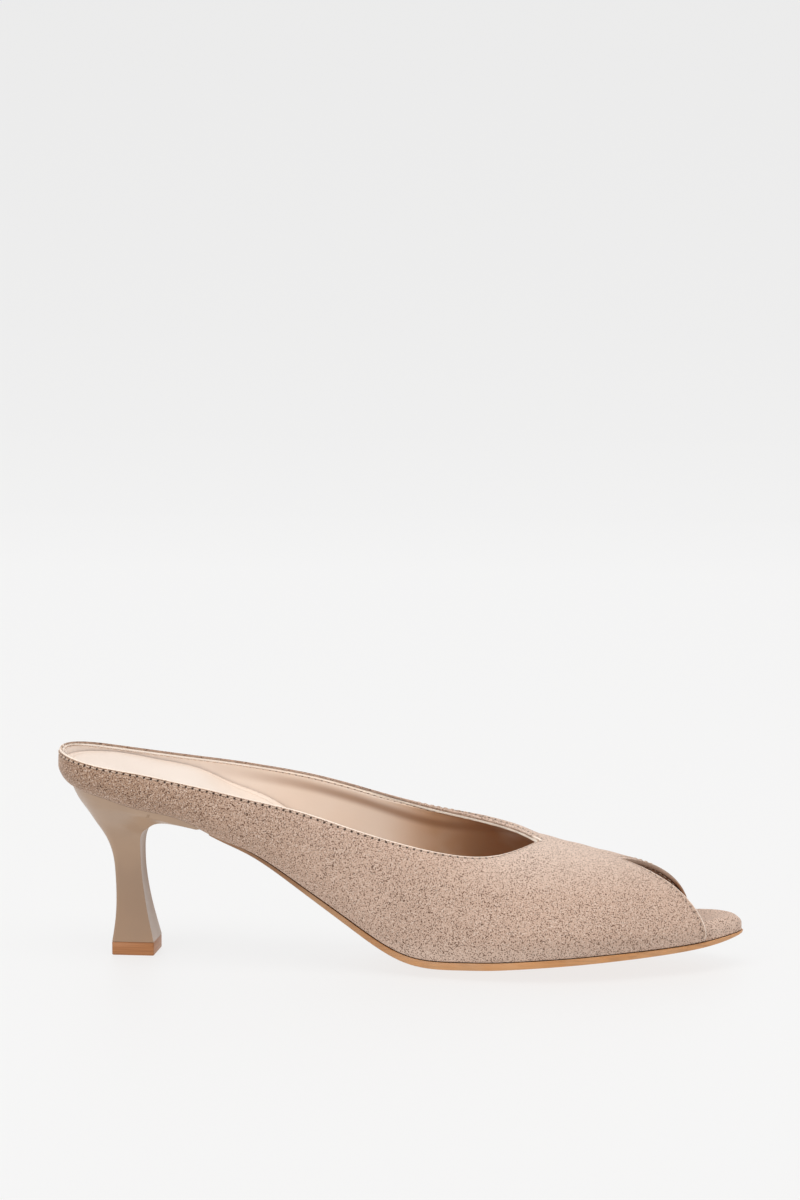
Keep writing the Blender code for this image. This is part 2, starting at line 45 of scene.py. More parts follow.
farAway = 100.0  # edge distance in millimetres for faces with no edge of their own
toFrame = np.array([-0.12164, 0.00127, 0.0])  # from the last's own zero to the frame's

last = {
    "length": 0.245,
    "ballWidth": 0.076,
    "seatHeight": 0.0614,
    "camber": 0.0039,
    # along (of length), outer, inner (of ballWidth), feather (of seatHeight), camber
    "rows": (
        (0.016, 0.000, 0.000, 1.000, 0.00),
        (0.022, 0.096, 0.096, 0.998, 0.00),
        (0.041, 0.182, 0.182, 0.984, 0.00),
        (0.074, 0.243, 0.240, 0.957, 0.00),
        (0.127, 0.284, 0.275, 0.904, 0.00),
        (0.196, 0.300, 0.268, 0.845, 0.00),
        (0.236, 0.301, 0.255, 0.765, 0.00),
        (0.290, 0.303, 0.237, 0.680, 0.05),
        (0.360, 0.308, 0.222, 0.508, 0.25),
        (0.440, 0.338, 0.239, 0.296, 0.60),
        (0.520, 0.400, 0.305, 0.123, 0.92),
        (0.600, 0.463, 0.387, 0.102, 1.00),
        (0.645, 0.484, 0.425, 0.109, 1.00),
        (0.690, 0.492, 0.451, 0.122, 0.98),
        (0.760, 0.466, 0.455, 0.141, 0.92),
        (0.830, 0.389, 0.411, 0.157, 0.80),
        (0.890, 0.282, 0.329, 0.166, 0.62),
        (0.945, 0.170, 0.225, 0.183, 0.38),
        (0.976, 0.074, 0.145, 0.198, 0.18),
        (0.997, -0.053, 0.053, 0.210, 0.00),
    ),
}
toe = len(last["rows"]) - 1


def spline(knots, values):  # smooth curve through every value
    knots = np.asarray(knots, dtype=float)
    values = np.asarray(values, dtype=float)
    flat = values.ndim == 1
    table = values[:, None] if flat else values
    count = len(knots)
    step = np.diff(knots)
    system = np.eye(count)
    right = np.zeros_like(table)
    for row in range(1, count - 1):
        before, after = step[row - 1 : row + 1]
        system[row, row - 1 : row + 2] = before, 2 * (before + after), after
        rise = (table[row + 1] - table[row]) / step[row]
        fall = (table[row] - table[row - 1]) / step[row - 1]
        right[row] = 6 * (rise - fall)
    bend = np.linalg.solve(system, right)

    def at(place):
        place = np.asarray(place, dtype=float)
        low = np.clip(np.searchsorted(knots, place) - 1, 0, count - 2)
        width = step[low][..., None]
        before = (knots[low + 1] - place)[..., None] / width
        after = 1 - before
        curve = (before**3 - before) * bend[low] + (after**3 - after) * bend[low + 1]
        found = before * table[low] + after * table[low + 1] + curve * width**2 / 6
        return found[..., 0] if flat else found

    return at


def lengthsAlong(points):  # distance along a line from its first point to each
    steps = np.linalg.norm(np.diff(points, axis=0), axis=1)
    return np.concatenate([[0.0], np.cumsum(steps)])


def lookUp(wanted, places, table):  # all columns of a table at the wanted places
    return np.stack([np.interp(wanted, places, column) for column in table.T], axis=-1)


def throughPoints(points):  # curve asked for by the number of the point
    points = np.asarray(points, dtype=float)
    knots = lengthsAlong(points)
    curve = spline(knots, points)
    numbers = np.arange(len(points))
    return lambda place: curve(np.interp(place, numbers, knots))


lastRows = np.array(last["rows"])
stationX = lastRows[:, 0] * last["length"]
feather = spline(stationX, lastRows[:, 3] * last["seatHeight"])
camber = spline(stationX, lastRows[:, 4] * last["camber"])


def lastLoop():
    outer = [(x, -y * last["ballWidth"]) for x, y in zip(stationX, lastRows[:, 1])]
    inner = [(x, y * last["ballWidth"]) for x, y in zip(stationX, lastRows[:, 2])]
    ring = outer[:0:-1] + inner[:-1]
    wrap = 4
    curve = throughPoints(ring[-wrap:] + ring + ring[:wrap])
    return lambda station: curve(np.asarray(station) + toe + wrap)


loop = lastLoop()  # plan of the feather by station, minus for the outer side
sidePlaces = np.linspace(0, toe, 300)
outerSide = loop(-sidePlaces)
innerSide = loop(sidePlaces)


def shareAcross(x, y):  # from -1 at the outer side to 1 at the inner side
    low = np.interp(x, outerSide[:, 0], outerSide[:, 1])
    high = np.interp(x, innerSide[:, 0], innerSide[:, 1])
    half = np.maximum((high - low) / 2, hairline)
    return np.clip((y - (low + high) / 2) / half, -1.35, 1.35)


def bed(x, y):  # underside of the last
    return feather(x) - camber(x) * (1 - shareAcross(x, y) ** 2)


def inward(station):
    run = loop(station + 0.02) - loop(station - 0.02)
    run = run / np.linalg.norm(run)
    return np.array([run[1], -run[0]])


def stationSteps(start, end, pitch):  # stations about one pitch apart along the outline
    places = [float(start)]
    for low in range(start, end):
        run = np.linalg.norm(loop(-low - 1) - loop(-low))
        count = max(2, math.ceil(run / pitch))
        places += [low + part / count for part in range(1, count + 1)]
    return places


class Shell:  # gathers grids of points into one closed mesh
    def __init__(self):
        self.points = []
        self.faces = []
        self.coords = []

    def addGrid(self, grid, coords=None, flip=False):
        rows, columns = grid.shape[:2]
        start = len(self.points)
        self.points += list(grid.reshape(-1, 3))
        if coords is None:
            coords = np.full((rows, columns, 2), farAway)
        self.coords += list(coords.reshape(-1, 2))
        for row in range(rows - 1):
            for column in range(columns - 1):
                corner = start + row * columns + column
                face = (corner, corner + 1, corner + columns + 1, corner + columns)
                self.faces.append(face[::-1] if flip else face)

    def addRing(self, ring):
        start = len(self.points)
        self.points += list(ring)
        self.coords += [(farAway, farAway)] * len(ring)
        self.faces.append(tuple(range(start, start + len(ring))))

    def toPiece(self, name, finish, slot, node=None, sharp=40):
        mesh = bpy.data.meshes.new(name)
        spots = np.array(self.points) + toFrame
        mesh.from_pydata(spots.tolist(), [], self.faces)
        body = bmesh.new()
        body.from_mesh(mesh)
        layer = body.loops.layers.uv.new("edgeMm")
        body.verts.ensure_lookup_table()
        for face in body.faces:
            for corner in face.loops:
                corner[layer].uv = self.coords[corner.vert.index]
        bmesh.ops.remove_doubles(body, verts=body.verts, dist=0.00001)
        bmesh.ops.recalc_face_normals(body, faces=body.faces)
        for face in body.faces:
            face.smooth = True
        for edge in body.edges:
            edge.smooth = edge.calc_face_angle(0.0) < math.radians(sharp)
        body.to_mesh(mesh)
        body.free()
        mesh.materials.append(finish)
        piece = bpy.data.objects.new(name, mesh)
        bpy.context.scene.collection.objects.link(piece)
        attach(piece, "root")
        if node:
            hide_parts(node)
        print("made", name, "with", len(mesh.polygons), "faces")
        return piece


def nearestOnLine(points, line, along):  # distance to a line of samples and the place on it
    flat = points.reshape(-1, 3)
    away = np.full(len(flat), 1.0)
    place = np.zeros(len(flat))
    for start in range(0, len(flat), 4000):
        part = flat[start : start + 4000]
        gaps = np.linalg.norm(part[:, None] - line[None], axis=2)
        near = gaps.argmin(axis=1)
        away[start : start + 4000] = gaps[np.arange(len(part)), near]
        place[start : start + 4000] = along[near]
    return away.reshape(points.shape[:-1]), place.reshape(points.shape[:-1])


def refine(line, count):  # more samples on a line of points
    steps = lengthsAlong(line)
    places = np.linspace(0, steps[-1], count)
    return lookUp(places, steps, line), places


def roundOver(away, radius):  # how far a rounded edge falls back at a distance from it
    inside = np.clip(radius - away, 0, radius)
    return radius - np.sqrt(np.maximum(radius**2 - inside**2, 0))


upper = {
    "wall": 1.6 * mm,
    "suede": 0.85 * mm,  # the rest of the wall is lining
    # the soft fold under the topline: height, where it rises and falls below the edge, and
    # how it grows and drops from heel to toe
    "rollHeight": 0.9 * mm,
    "rollSteps": (0.2 * mm, 2.2 * mm, 3.2 * mm, 6.6 * mm),
    "rollFrom": (-0.080, 0.0),
    "rollGrowth": 0.7 * mm,
    "rollDropFrom": (-0.020, 0.030),
    "rollDrop": 3.8 * mm,
    "seatBulge": 0.0049,
    "seatRoll": 0.0068,
    "vampDome": 0.0022,
    "rimHeight": 0.0748,
    "liningAbove": 0.42 * mm,  # how far the lining's cut edge stands over the suede
    "edgeRound": 0.30 * mm,
    "liningRound": 0.25 * mm,
    "layerGap": 0.04 * mm,  # glue between suede and lining
    "edgeFade": 1.2 * mm,  # how far in the raised edge is felt
    "columnPitch": 1.5 * mm,
    "rows": 34,
    "throat": 13,
    "slitEnd": 17,
    "innerSlitEnd": 16.4,
    # bulge, roll, flank, crown, under, dome for both sides, from the back to the slit
    "outerWall": (
        (1.00, 1.00, 2.0, 2.0, 1.3, 0.0),
        (0.98, 0.99, 2.0, 2.0, 1.3, 0.0),
        (0.95, 0.97, 2.0, 2.0, 1.3, 0.0),
        (0.89, 0.92, 2.0, 2.0, 1.4, 0.0),
        (0.85, 0.89, 2.0, 2.0, 1.4, 0.0),
        (0.85, 0.86, 2.0, 2.0, 1.4, 0.0),
        (0.83, 0.95, 2.0, 2.0, 1.4, 0.0),
        (0.81, 1.08, 2.0, 2.0, 1.4, 0.0),
        (0.78, 1.18, 2.0, 1.9, 1.3, 0.0),
        (0.67, 1.18, 2.0, 1.8, 1.3, 0.0),
        (0.52, 1.08, 2.0, 1.7, 1.2, 0.0),
        (0.41, 0.95, 2.0, 1.6, 1.2, 0.0),
        (0.38, 0.92, 2.0, 1.5, 1.2, 0.0),
        (0.35, 0.89, 2.0, 1.5, 1.2, 0.0),
        (0.33, 0.82, 2.0, 1.4, 1.2, 0.0),
        (0.31, 0.76, 2.1, 1.4, 1.2, 0.0),
        (0.30, 0.63, 2.1, 1.4, 1.2, -0.3),
        (0.26, 0.44, 2.2, 1.5, 1.2, -0.8),
    ),
    "innerWall": (
        (1.00, 1.00, 2.0, 2.0, 1.3, 0.0),
        (0.98, 0.99, 2.0, 2.0, 1.3, 0.0),
        (0.95, 0.97, 2.0, 2.0, 1.3, 0.0),
        (0.89, 0.92, 2.0, 2.0, 1.4, 0.0),
        (0.87, 0.92, 2.0, 2.0, 1.4, 0.0),
        (0.90, 1.00, 2.0, 2.0, 1.4, 0.0),
        (0.94, 1.15, 2.0, 2.0, 1.4, 0.0),
        (0.98, 1.40, 2.0, 2.0, 1.4, 0.0),
        (0.98, 1.55, 2.0, 2.0, 1.3, 0.0),
        (0.85, 1.50, 2.0, 1.9, 1.3, 0.1),
        (0.62, 1.30, 2.1, 1.8, 1.2, 0.6),
        (0.46, 1.05, 2.3, 1.7, 1.2, 1.1),
        (0.40, 0.98, 2.4, 1.7, 1.2, 1.0),
        (0.37, 0.92, 2.5, 1.7, 1.2, 0.7),
        (0.34, 0.84, 2.4, 1.6, 1.2, 0.3),
        (0.32, 0.76, 2.2, 1.5, 1.2, 0.0),
        (0.30, 0.63, 2.0, 1.7, 1.2, -0.2),
        (0.28, 0.50, 1.8, 2.2, 1.2, -0.6),
    ),
    # the topline: lean in and height for the outer side, then for the inner side
    "rim": (
        (0.010, 0.996, 0.010, 0.996),
        (0.014, 0.987, 0.014, 0.995),
        (0.026, 0.965, 0.026, 0.980),
        (0.032, 0.942, 0.030, 0.957),
        (0.037, 0.919, 0.033, 0.930),
        (0.040, 0.877, 0.034, 0.906),
        (0.042, 0.850, 0.034, 0.894),
        (0.045, 0.810, 0.034, 0.873),
        (0.056, 0.758, 0.042, 0.840),
        (0.078, 0.675, 0.058, 0.777),
        (0.122, 0.600, 0.112, 0.700),
        (0.212, 0.551, 0.222, 0.641),
        (0.350, 0.545, 0.342, 0.613),
    ),
    # the strip between the throat and the slit: along, across, up
    "ridge": (
        (0.703, 0.007, 0.584),
        (0.737, 0.026, 0.556),
        (0.773, 0.039, 0.532),
        (0.800, 0.043, 0.514),
        (0.820, 0.046, 0.497),
    ),
}
wallTables = {-1: np.array(upper["outerWall"]), 1: np.array(upper["innerWall"])}
wallNames = ("bulge", "roll", "flank", "crown", "under", "dome")


def sideValues(station):
    table = wallTables[-1 if station < 0 else 1]
    place = abs(station)
    low = min(int(place), len(table) - 2)
    ease = (place - low) ** 2 * (3 - 2 * (place - low))
    return dict(zip(wallNames, table[low] * (1 - ease) + table[low + 1] * ease))


def widest(station):
    foot = loop(station)
    values = sideValues(station)
    out = foot - inward(station) * values["bulge"] * upper["seatBulge"]
    return np.array([*out, feather(foot[0]) + values["roll"] * upper["seatRoll"]])


ridgeScale = np.array([last["length"], last["ballWidth"], upper["rimHeight"]])
ridgePoints = np.array(upper["ridge"]) * ridgeScale
ridgeCurve = throughPoints(ridgePoints)


def rimLine():
    points = [ridgePoints[0]]
    for station in range(1 - upper["throat"], upper["throat"]):
        side = slice(2) if station < 0 else slice(2, None)
        lean, height = upper["rim"][abs(station)][side]
        plan = widest(station)[:2] + inward(station) * lean * last["ballWidth"]
        points.append((*plan, height * upper["rimHeight"]))
    points.append(ridgePoints[0])
    curve = throughPoints(points)
    return lambda station: curve(station + upper["throat"])


rimCurve = rimLine()


def columnCurve(column):  # face of the upper from the feather up to its top edge
    whole = upper["slitEnd"] - 1
    share = upper["innerSlitEnd"] - whole
    station = column if column <= whole else whole + (column - whole) * share
    foot = loop(station)
    base = np.array([*foot, feather(foot[0])])
    wide = widest(station)
    if abs(column) < upper["throat"]:
        top = rimCurve(column)
    else:
        top = ridgeCurve(abs(column) - upper["throat"])
    values = sideValues(station)
    turn = np.linspace(0, math.pi / 2, 13)[:-1, None]
    out = np.sin(turn) ** values["under"]
    up = 1 - np.cos(turn) ** values["under"]
    low = base + (wide - base) * np.hstack([out, out, up])
    turn = np.linspace(0, math.pi / 2, 61)[:, None]
    across = 1 - np.maximum(np.cos(turn), 0) ** (2 / values["flank"])
    up = np.sin(turn) ** (2 / values["crown"])
    high = wide + (top - wide) * np.hstack([across, across, up])
    high[:, 2:] += values["dome"] * upper["vampDome"] * 4 * across * (1 - across)
    return np.concatenate([low, high])[::-1], station


def upperFace():
    near = np.array([0, 0.1, 0.2, 0.32, 0.6, 1.0, 1.4, 1.8, 2.2, 2.7, 3.3, 4.2]) * mm
    places = stationSteps(0, upper["slitEnd"], upper["columnPitch"])
    hem = upper["slitEnd"] - np.array([0.30, 0.23, 0.17, 0.12, 0.08, 0.055, 0.035, 0.02, 0.008])
    places = [place for place in places if place < hem[0]] + list(hem) + [upper["slitEnd"]]
    columns = [-place for place in reversed(places)] + places[1:]
    grid = []
    stations = []
    for column in columns:
        line, station = columnCurve(column)
        depth = lengthsAlong(line)
        rest = np.linspace(near[-1], depth[-1], upper["rows"] + 1)[1:]
        grid.append(lookUp(np.concatenate([near, rest]), depth, line))
        stations.append(station)
    grid = np.array(grid)
    along = np.gradient(grid, axis=0)
    down = np.gradient(grid, axis=1)
    normal = np.cross(along, down)
    normal /= np.linalg.norm(normal, axis=2, keepdims=True)
    closed = [index for index, column in enumerate(columns) if column <= -upper["throat"]]
    for index in closed:  # both halves of the vamp share one normal on the ridge
        twin = len(columns) - 1 - index
        shared = normal[index, 0] + normal[twin, 0]
        normal[index, 0] = normal[twin, 0] = shared / np.linalg.norm(shared)
    return np.array(columns), np.array(stations), grid, normal, len(closed)


columns, stations, face, faceNormal, closedCount = upperFace()
faceInner = face - faceNormal * upper["wall"]
openColumns = slice(closedCount - 1, len(columns) - closedCount + 1)


def edgeCoords():  # for each point: millimetres along the nearest open edge, and from it
    rim = face[openColumns, 0]
    back = int(np.argmin(abs(columns[openColumns])))
    sides = [refine(rim[: back + 1][::-1], 900), refine(rim[back:], 900)]
    mean = (sides[0][1][-1] + sides[1][1][-1]) / 2
    line = np.concatenate([side[0] for side in sides])
    along = np.concatenate([side[1] / side[1][-1] * mean for side in sides])
    rimAway, rimPlace = nearestOnLine(face, line, along)
    slits = [refine(face[0], 500), refine(face[-1], 500)]
    line = np.concatenate([side[0] for side in slits])
    along = np.concatenate([side[1] for side in slits])
    slitAway, slitPlace = nearestOnLine(face, line, along)
    return rimAway, rimPlace, slitAway, slitPlace


rimAway, rimPlace, slitAway, slitPlace = edgeCoords()
edgeAway = np.minimum(rimAway, slitAway)
onSlit = slitAway < rimAway
edgePlace = np.where(onSlit, slitPlace, rimPlace)
edgeMm = np.stack([edgePlace, edgeAway], axis=2) / mm


def outwardAlong():  # unit steps that lead over the topline and over the slit's edges
    steps = (face[:, 0] - face[:, 1], face[0] - face[1], face[-1] - face[-2])
    return [step / np.linalg.norm(step, axis=1, keepdims=True) for step in steps]


def raiseEdge(grid, rise):  # lets a layer stand over the open edges
    up, back, front = outwardAlong()
    grown = grid.copy()
    fade = np.clip(1 - rimAway / upper["edgeFade"], 0, 1)[..., None] * rise
    opened = np.zeros(len(columns))
    opened[openColumns] = 1
    opened[openColumns.start] = opened[openColumns.stop - 1] = 0.5
    grown += up[:, None] * fade * opened[:, None, None]
    fade = np.clip(1 - slitAway / upper["edgeFade"], 0, 1)[..., None] * rise
    half = len(columns) // 2
    grown[:half] += back[None] * fade[:half]
    grown[half:] += front[None] * fade[half:]
    return grown


def eased(share):
    return share * share * (3 - 2 * share)


def rollUnderRim():  # the padded topline stands in from the lining and leaves a soft fold
    start, full, fallen, level = upper["rollSteps"]
    forward = face[..., 0] + toFrame[0]
    back, front = upper["rollFrom"]
    grow = np.clip((forward - back) / (front - back), 0, 1)
    back, front = upper["rollDropFrom"]
    drop = eased(np.clip((forward - back) / (front - back), 0, 1))
    rise = np.clip((rimAway - start) / (full - start), 0, 1)
    lowest = level + grow * upper["rollGrowth"] + drop * upper["rollDrop"]
    fall = np.clip((lowest - rimAway) / (level - fallen), 0, 1)
    return upper["rollHeight"] * eased(rise) * eased(fall) * eased(grow)


def closeUpper(outer, inner, coords):  # both faces of a layer with the strips between them
    shell = Shell()
    shell.addGrid(outer, coords)
    shell.addGrid(inner, coords, flip=True)
    for strip in (np.s_[:, -1], np.s_[0], np.s_[-1], np.s_[openColumns, 0]):
        pair = np.stack([outer[strip], inner[strip]], axis=1)
        shell.addGrid(pair, np.stack([coords[strip], coords[strip]], axis=1))
    return shell


footbed = {
    "padThick": 0.0076,
    "archLift": 0.0036,
    "insideClearance": 0.5 * mm,
    "toeRound": 2.6 * mm,
    "pitch": 2.2 * mm,
    "across": 26,
    "levels": (0.0, 0.25, 0.5, 0.7, 0.85, 0.95, 1.0),
    # thickness and inner arch at each row of the last
    "pad": (1.00, 1.00, 1.05, 1.14, 1.22, 1.22, 1.10, 0.87, 0.74, 0.70,
            0.48, 0.42, 0.40, 0.41, 0.48, 0.62, 0.80, 0.93, 0.86, 0.66),
    "arch": (0, 0, 0, 0, 0, 0, 0.40, 0.90, 1.00, 0.70, 0.25, 0, 0, 0, 0, 0, 0, 0, 0, 0),
}
sock = {
    "end": 14,
    "thick": 1.2 * mm,
    "clearance": 0.4 * mm,
    "edgeRound": 0.45 * mm,
    "across": 26,
    "pitch": 1.8 * mm,
}
sole = {
    "thick": 0.0023,
    "margin": 0.5 * mm,
    "bevel": 0.5 * mm,
    "clearance": 0.3 * mm,
    "flatDepth": 0.3 * mm,
    "start": 0.0566,
    "pitch": 2.2 * mm,
    "across": 20,
    "edgeMark": -5.0,  # edge distance that tells the finish of the cut edge
    # sole, margin, bevel at each row of the last
    "rows": (
        *[(0.40, -6.0, 8.0)] * 6,
        (0.45, -6.0, 8.0),
        (0.60, -2.2, 5.0),
        (0.78, -0.2, 2.6),
        (1.00, 0.4, 2.0),
        *[(1.00, 1.0, 1.0)] * 3,
        (0.98, 1.0, 1.0),
        (0.94, 1.0, 1.0),
        (0.90, 1.0, 1.0),
        (0.80, 1.0, 1.0),
        (0.70, 0.8, 0.9),
        (0.54, 0.2, 0.7),
        (0.26, 0.0, 0.6),
    ),
}
padAt = spline(stationX, np.array(footbed["pad"]) * footbed["padThick"])
archAt = spline(stationX, np.array(footbed["arch"]) * footbed["archLift"])
soleRows = np.array(sole["rows"])
soleAt = spline(stationX, soleRows[:, 0] * sole["thick"])
marginAt = spline(stationX, soleRows[:, 1] * sole["margin"])
bevelAt = spline(stationX, soleRows[:, 2] * sole["bevel"])


def footbedTop(x, y):
    share = np.maximum(shareAcross(x, y), 0)
    return bed(x, y) + padAt(x) + archAt(x) * share**2


def innerColumn(station):
    place = np.interp(station, stations, np.arange(len(stations)))
    low = min(int(place), len(stations) - 2)
    part = place - low
    return (faceInner[low] * (1 - part) + faceInner[low + 1] * part)[::-1]


def wallPlan(station, surface):  # plan point just inside the upper at a surface's height
    point = loop(station)
    line = innerColumn(station)
    for _ in range(3):
        level = surface(*point)
        plan = lookUp(level, line[:, 2], line[:, :2])
        point = plan + inward(station) * footbed["insideClearance"]
    return point


def inUpper(station):
    return stations[0] <= station <= stations[-1]


def sheetPlan(outer, inner, across, near=()):  # plan grid between two chains of points
    rows = []
    for left, right in zip(outer, inner):
        width = np.linalg.norm(right - left)
        if width < hairline:
            right = left
            width = hairline
        half = np.linspace(0, 0.5, across // 2 + 1)
        if len(near):
            first = np.minimum(np.array(near) / width, np.linspace(0, 0.3, len(near)))
            half = np.concatenate([first[:-1], np.linspace(first[-1], 0.5, across // 2)])
        parts = np.concatenate([half, 1 - half[-2::-1]])
        rows.append(left + (right - left) * parts[:, None])
    return np.array(rows)


def raised(plan, height):
    return np.dstack([plan, height(plan[..., 0], plan[..., 1])])


def border(grid):
    return np.concatenate([grid[0], grid[1:, -1], grid[-1, -2::-1], grid[-2::-1, 0]])


def outlineCoords(grid, closedFrom=0):  # millimetres along the outline of a grid and from it
    rim = border(grid[closedFrom:])
    line, along = refine(rim, 2400)
    away, place = nearestOnLine(grid, line, along)
    return np.stack([place, away], axis=2) / mm, away


def makeFootbed(finish):
    places = sorted(stationSteps(0, toe, footbed["pitch"]) + [upper["innerSlitEnd"]])
    rise = upper["wall"] + hairline
    feet = []
    for side in (-1, 1):
        stops = [side * place for place in places]
        starts = [innerColumn(stop)[0, :2] if inUpper(stop) else loop(stop) for stop in stops]
        gap = footbed["insideClearance"]
        feet.append([start + inward(stop) * gap for start, stop in zip(starts, stops)])
    shell = Shell()
    bottom = raised(sheetPlan(*feet, footbed["across"]), bed)
    shell.addGrid(bottom, flip=True)
    rings = [border(bottom)]
    for level in footbed["levels"]:
        def height(x, y):
            return bed(x, y) + rise + (footbedTop(x, y) - bed(x, y) - rise) * level

        chains = []
        for side in (-1, 1):
            chain = []
            for place in places:
                station = side * place
                if inUpper(station):
                    chain.append(wallPlan(station, height))
                else:
                    inset = footbed["insideClearance"] + footbed["toeRound"] * level**2.5
                    chain.append(loop(station) + inward(station) * inset)
            chains.append(chain)
        top = raised(sheetPlan(*chains, footbed["across"]), height)
        rings.append(border(top))
    for low, high in zip(rings, rings[1:]):
        shell.addGrid(np.stack([low, high]))
    shell.addGrid(top, outlineCoords(top, 1)[0])
    return shell.toPiece("footbedWrap", finish, "footbed_cover", "insole", 50)


def makeSock(finish):
    places = stationSteps(0, sock["end"], sock["pitch"])

    def under(x, y):
        return footbedTop(x, y) + sock["clearance"]

    def over(x, y):
        return under(x, y) + sock["thick"]

    chains = [[wallPlan(side * place, over) for place in places] for side in (-1, 1)]
    near = np.array([0, 0.12, 0.28, 0.5, 0.9, 1.6, 2.4, 3.0, 3.6, 4.4]) * mm
    plan = sheetPlan(*chains, sock["across"], near)
    top = raised(plan, over)
    coords, away = outlineCoords(top, 1)
    away[0] = 0
    top[..., 2] -= roundOver(away, sock["edgeRound"])
    bottom = raised(plan, under)
    shell = Shell()
    shell.addGrid(bottom, flip=True)
    shell.addGrid(np.stack([border(bottom), border(top)]))
    shell.addGrid(top, coords)
    return shell.toPiece("sockLeather", finish, "sock_leather", "sock_lining", 60)


def stationAt(x, side):
    lookup = np.linspace(1, toe, 400)
    return float(np.interp(x, loop(side * lookup)[:, 0], lookup))


def makeSole(finish):
    steps = stationSteps(0, toe, sole["pitch"])
    places = [place for place in steps if loop(-place)[0] > sole["start"] + sole["pitch"] / 2]

    def chain(side, bevelled, grow=0.0):
        first = stationAt(sole["start"], side)
        line = []
        for place in [first] + places:
            station = side * place
            spot = loop(station)
            inset = bevelled * bevelAt(spot[0]) - marginAt(spot[0]) - grow
            line.append(spot + inward(station) * inset)
        line[0][0] = sole["start"]
        return line

    def under(x, y):
        height = bed(x, y) - sole["clearance"] - soleAt(x) - sole["flatDepth"]
        return np.maximum(height, 0)

    def over(x, y):
        return bed(x, y) - sole["clearance"]

    def level(share, rise):
        def height(x, y):
            low = np.minimum(under(x, y) + rise, over(x, y) - rise)
            return low + (over(x, y) - low) * share
        return height

    bevel = sole["bevel"]
    layers = [(1.0, 0.0, under)]
    for turn in (30, 60, 90):
        angle = math.radians(turn)
        layers.append((1 - math.sin(angle), 0.0, level(0.0, bevel * (1 - math.cos(angle)))))
    layers += [(0.0, 0.05 * mm, level(0.5, bevel)), (0.0, 0.0, level(0.86, bevel))]
    layers += [(0.5, 0.0, over)]  # the top edge is cut back, which draws the feather line
    grids = []
    for bevelled, grow, height in layers:
        plan = sheetPlan(chain(-1, bevelled, grow), chain(1, bevelled, grow), sole["across"])
        grids.append(raised(plan, height))
    shell = Shell()
    shell.addGrid(grids[0], outlineCoords(grids[0])[0], flip=True)
    for low, high in zip(grids, grids[1:]):
        ring = np.stack([border(low), border(high)])
        shell.addGrid(ring, np.full((*ring.shape[:2], 2), sole["edgeMark"]))
    shell.addGrid(grids[-1])
    return shell.toPiece("soleLeather", finish, "sole_leather", "outsole", 50)


heel = {
    "lipReach": 0.0538,
    "clearance": 0.08 * mm,  # pressed against the suede, closer than the solids
    "edgeSoft": 0.22 * mm,
    "crease": 32,  # degrees, from which an edge is crisp
    "tipCorner": 0.5 * mm,
    "lipThick": 0.5 * mm,
    "tipHeight": 0.0048,
    "tipLength": 0.0152,
    "tipWidth": 0.0164,
    "tipBack": 0.0192,
    "tipEdge": 0.35 * mm,
    "breastHollow": 0.7 * mm,
    "hollowFrom": 0.06,  # share of the height
    "hollowSpan": 0.8,
    "rings": 70,
    # back, back up, front, front up, half, corner, seat, from the base to the seat
    "rows": (
        (0.374, 0.195, 0.607, 0.195, 0.310, 0.10, 0.00),
        (0.379, 0.326, 0.576, 0.326, 0.255, 0.14, 0.00),
        (0.370, 0.472, 0.552, 0.472, 0.225, 0.24, 0.00),
        (0.351, 0.586, 0.544, 0.586, 0.228, 0.36, 0.02),
        (0.308, 0.684, 0.546, 0.668, 0.275, 0.46, 0.08),
        (0.245, 0.765, 0.570, 0.730, 0.390, 0.56, 0.22),
        (0.176, 0.845, 0.630, 0.774, 0.585, 0.72, 0.46),
        (0.122, 0.912, 0.735, 0.813, 0.795, 0.85, 0.78),
        (0.090, 0.966, 0.972, 0.792, 0.955, 0.95, 1.00),
    ),
}


def roundedSide(part, corner, back, front, half):
    radius = min(corner * half, (front - back) * 0.8)
    if part <= 0.5:
        return np.array([front + (back + radius - front) * part / 0.5, half])
    if part <= 0.75:
        turn = (part - 0.5) / 0.25 * math.pi / 2
        inset = (1 - math.sin(turn), 1 - math.cos(turn))
        return np.array([back + radius * inset[0], half - radius * inset[1]])
    return np.array([back, (half - radius) * (1 - (part - 0.75) / 0.25)])


def seatSide(part, side):
    lip = stationAt(heel["lipReach"], side)
    station = side * float(np.interp(part, [0.0, 0.5, 0.75, 1.0], [lip, 4.0, 2.0, 0.0]))
    point = loop(station) + inward(station) * heel["clearance"]
    if part == 0.0:
        point[0] = heel["lipReach"]
    return point


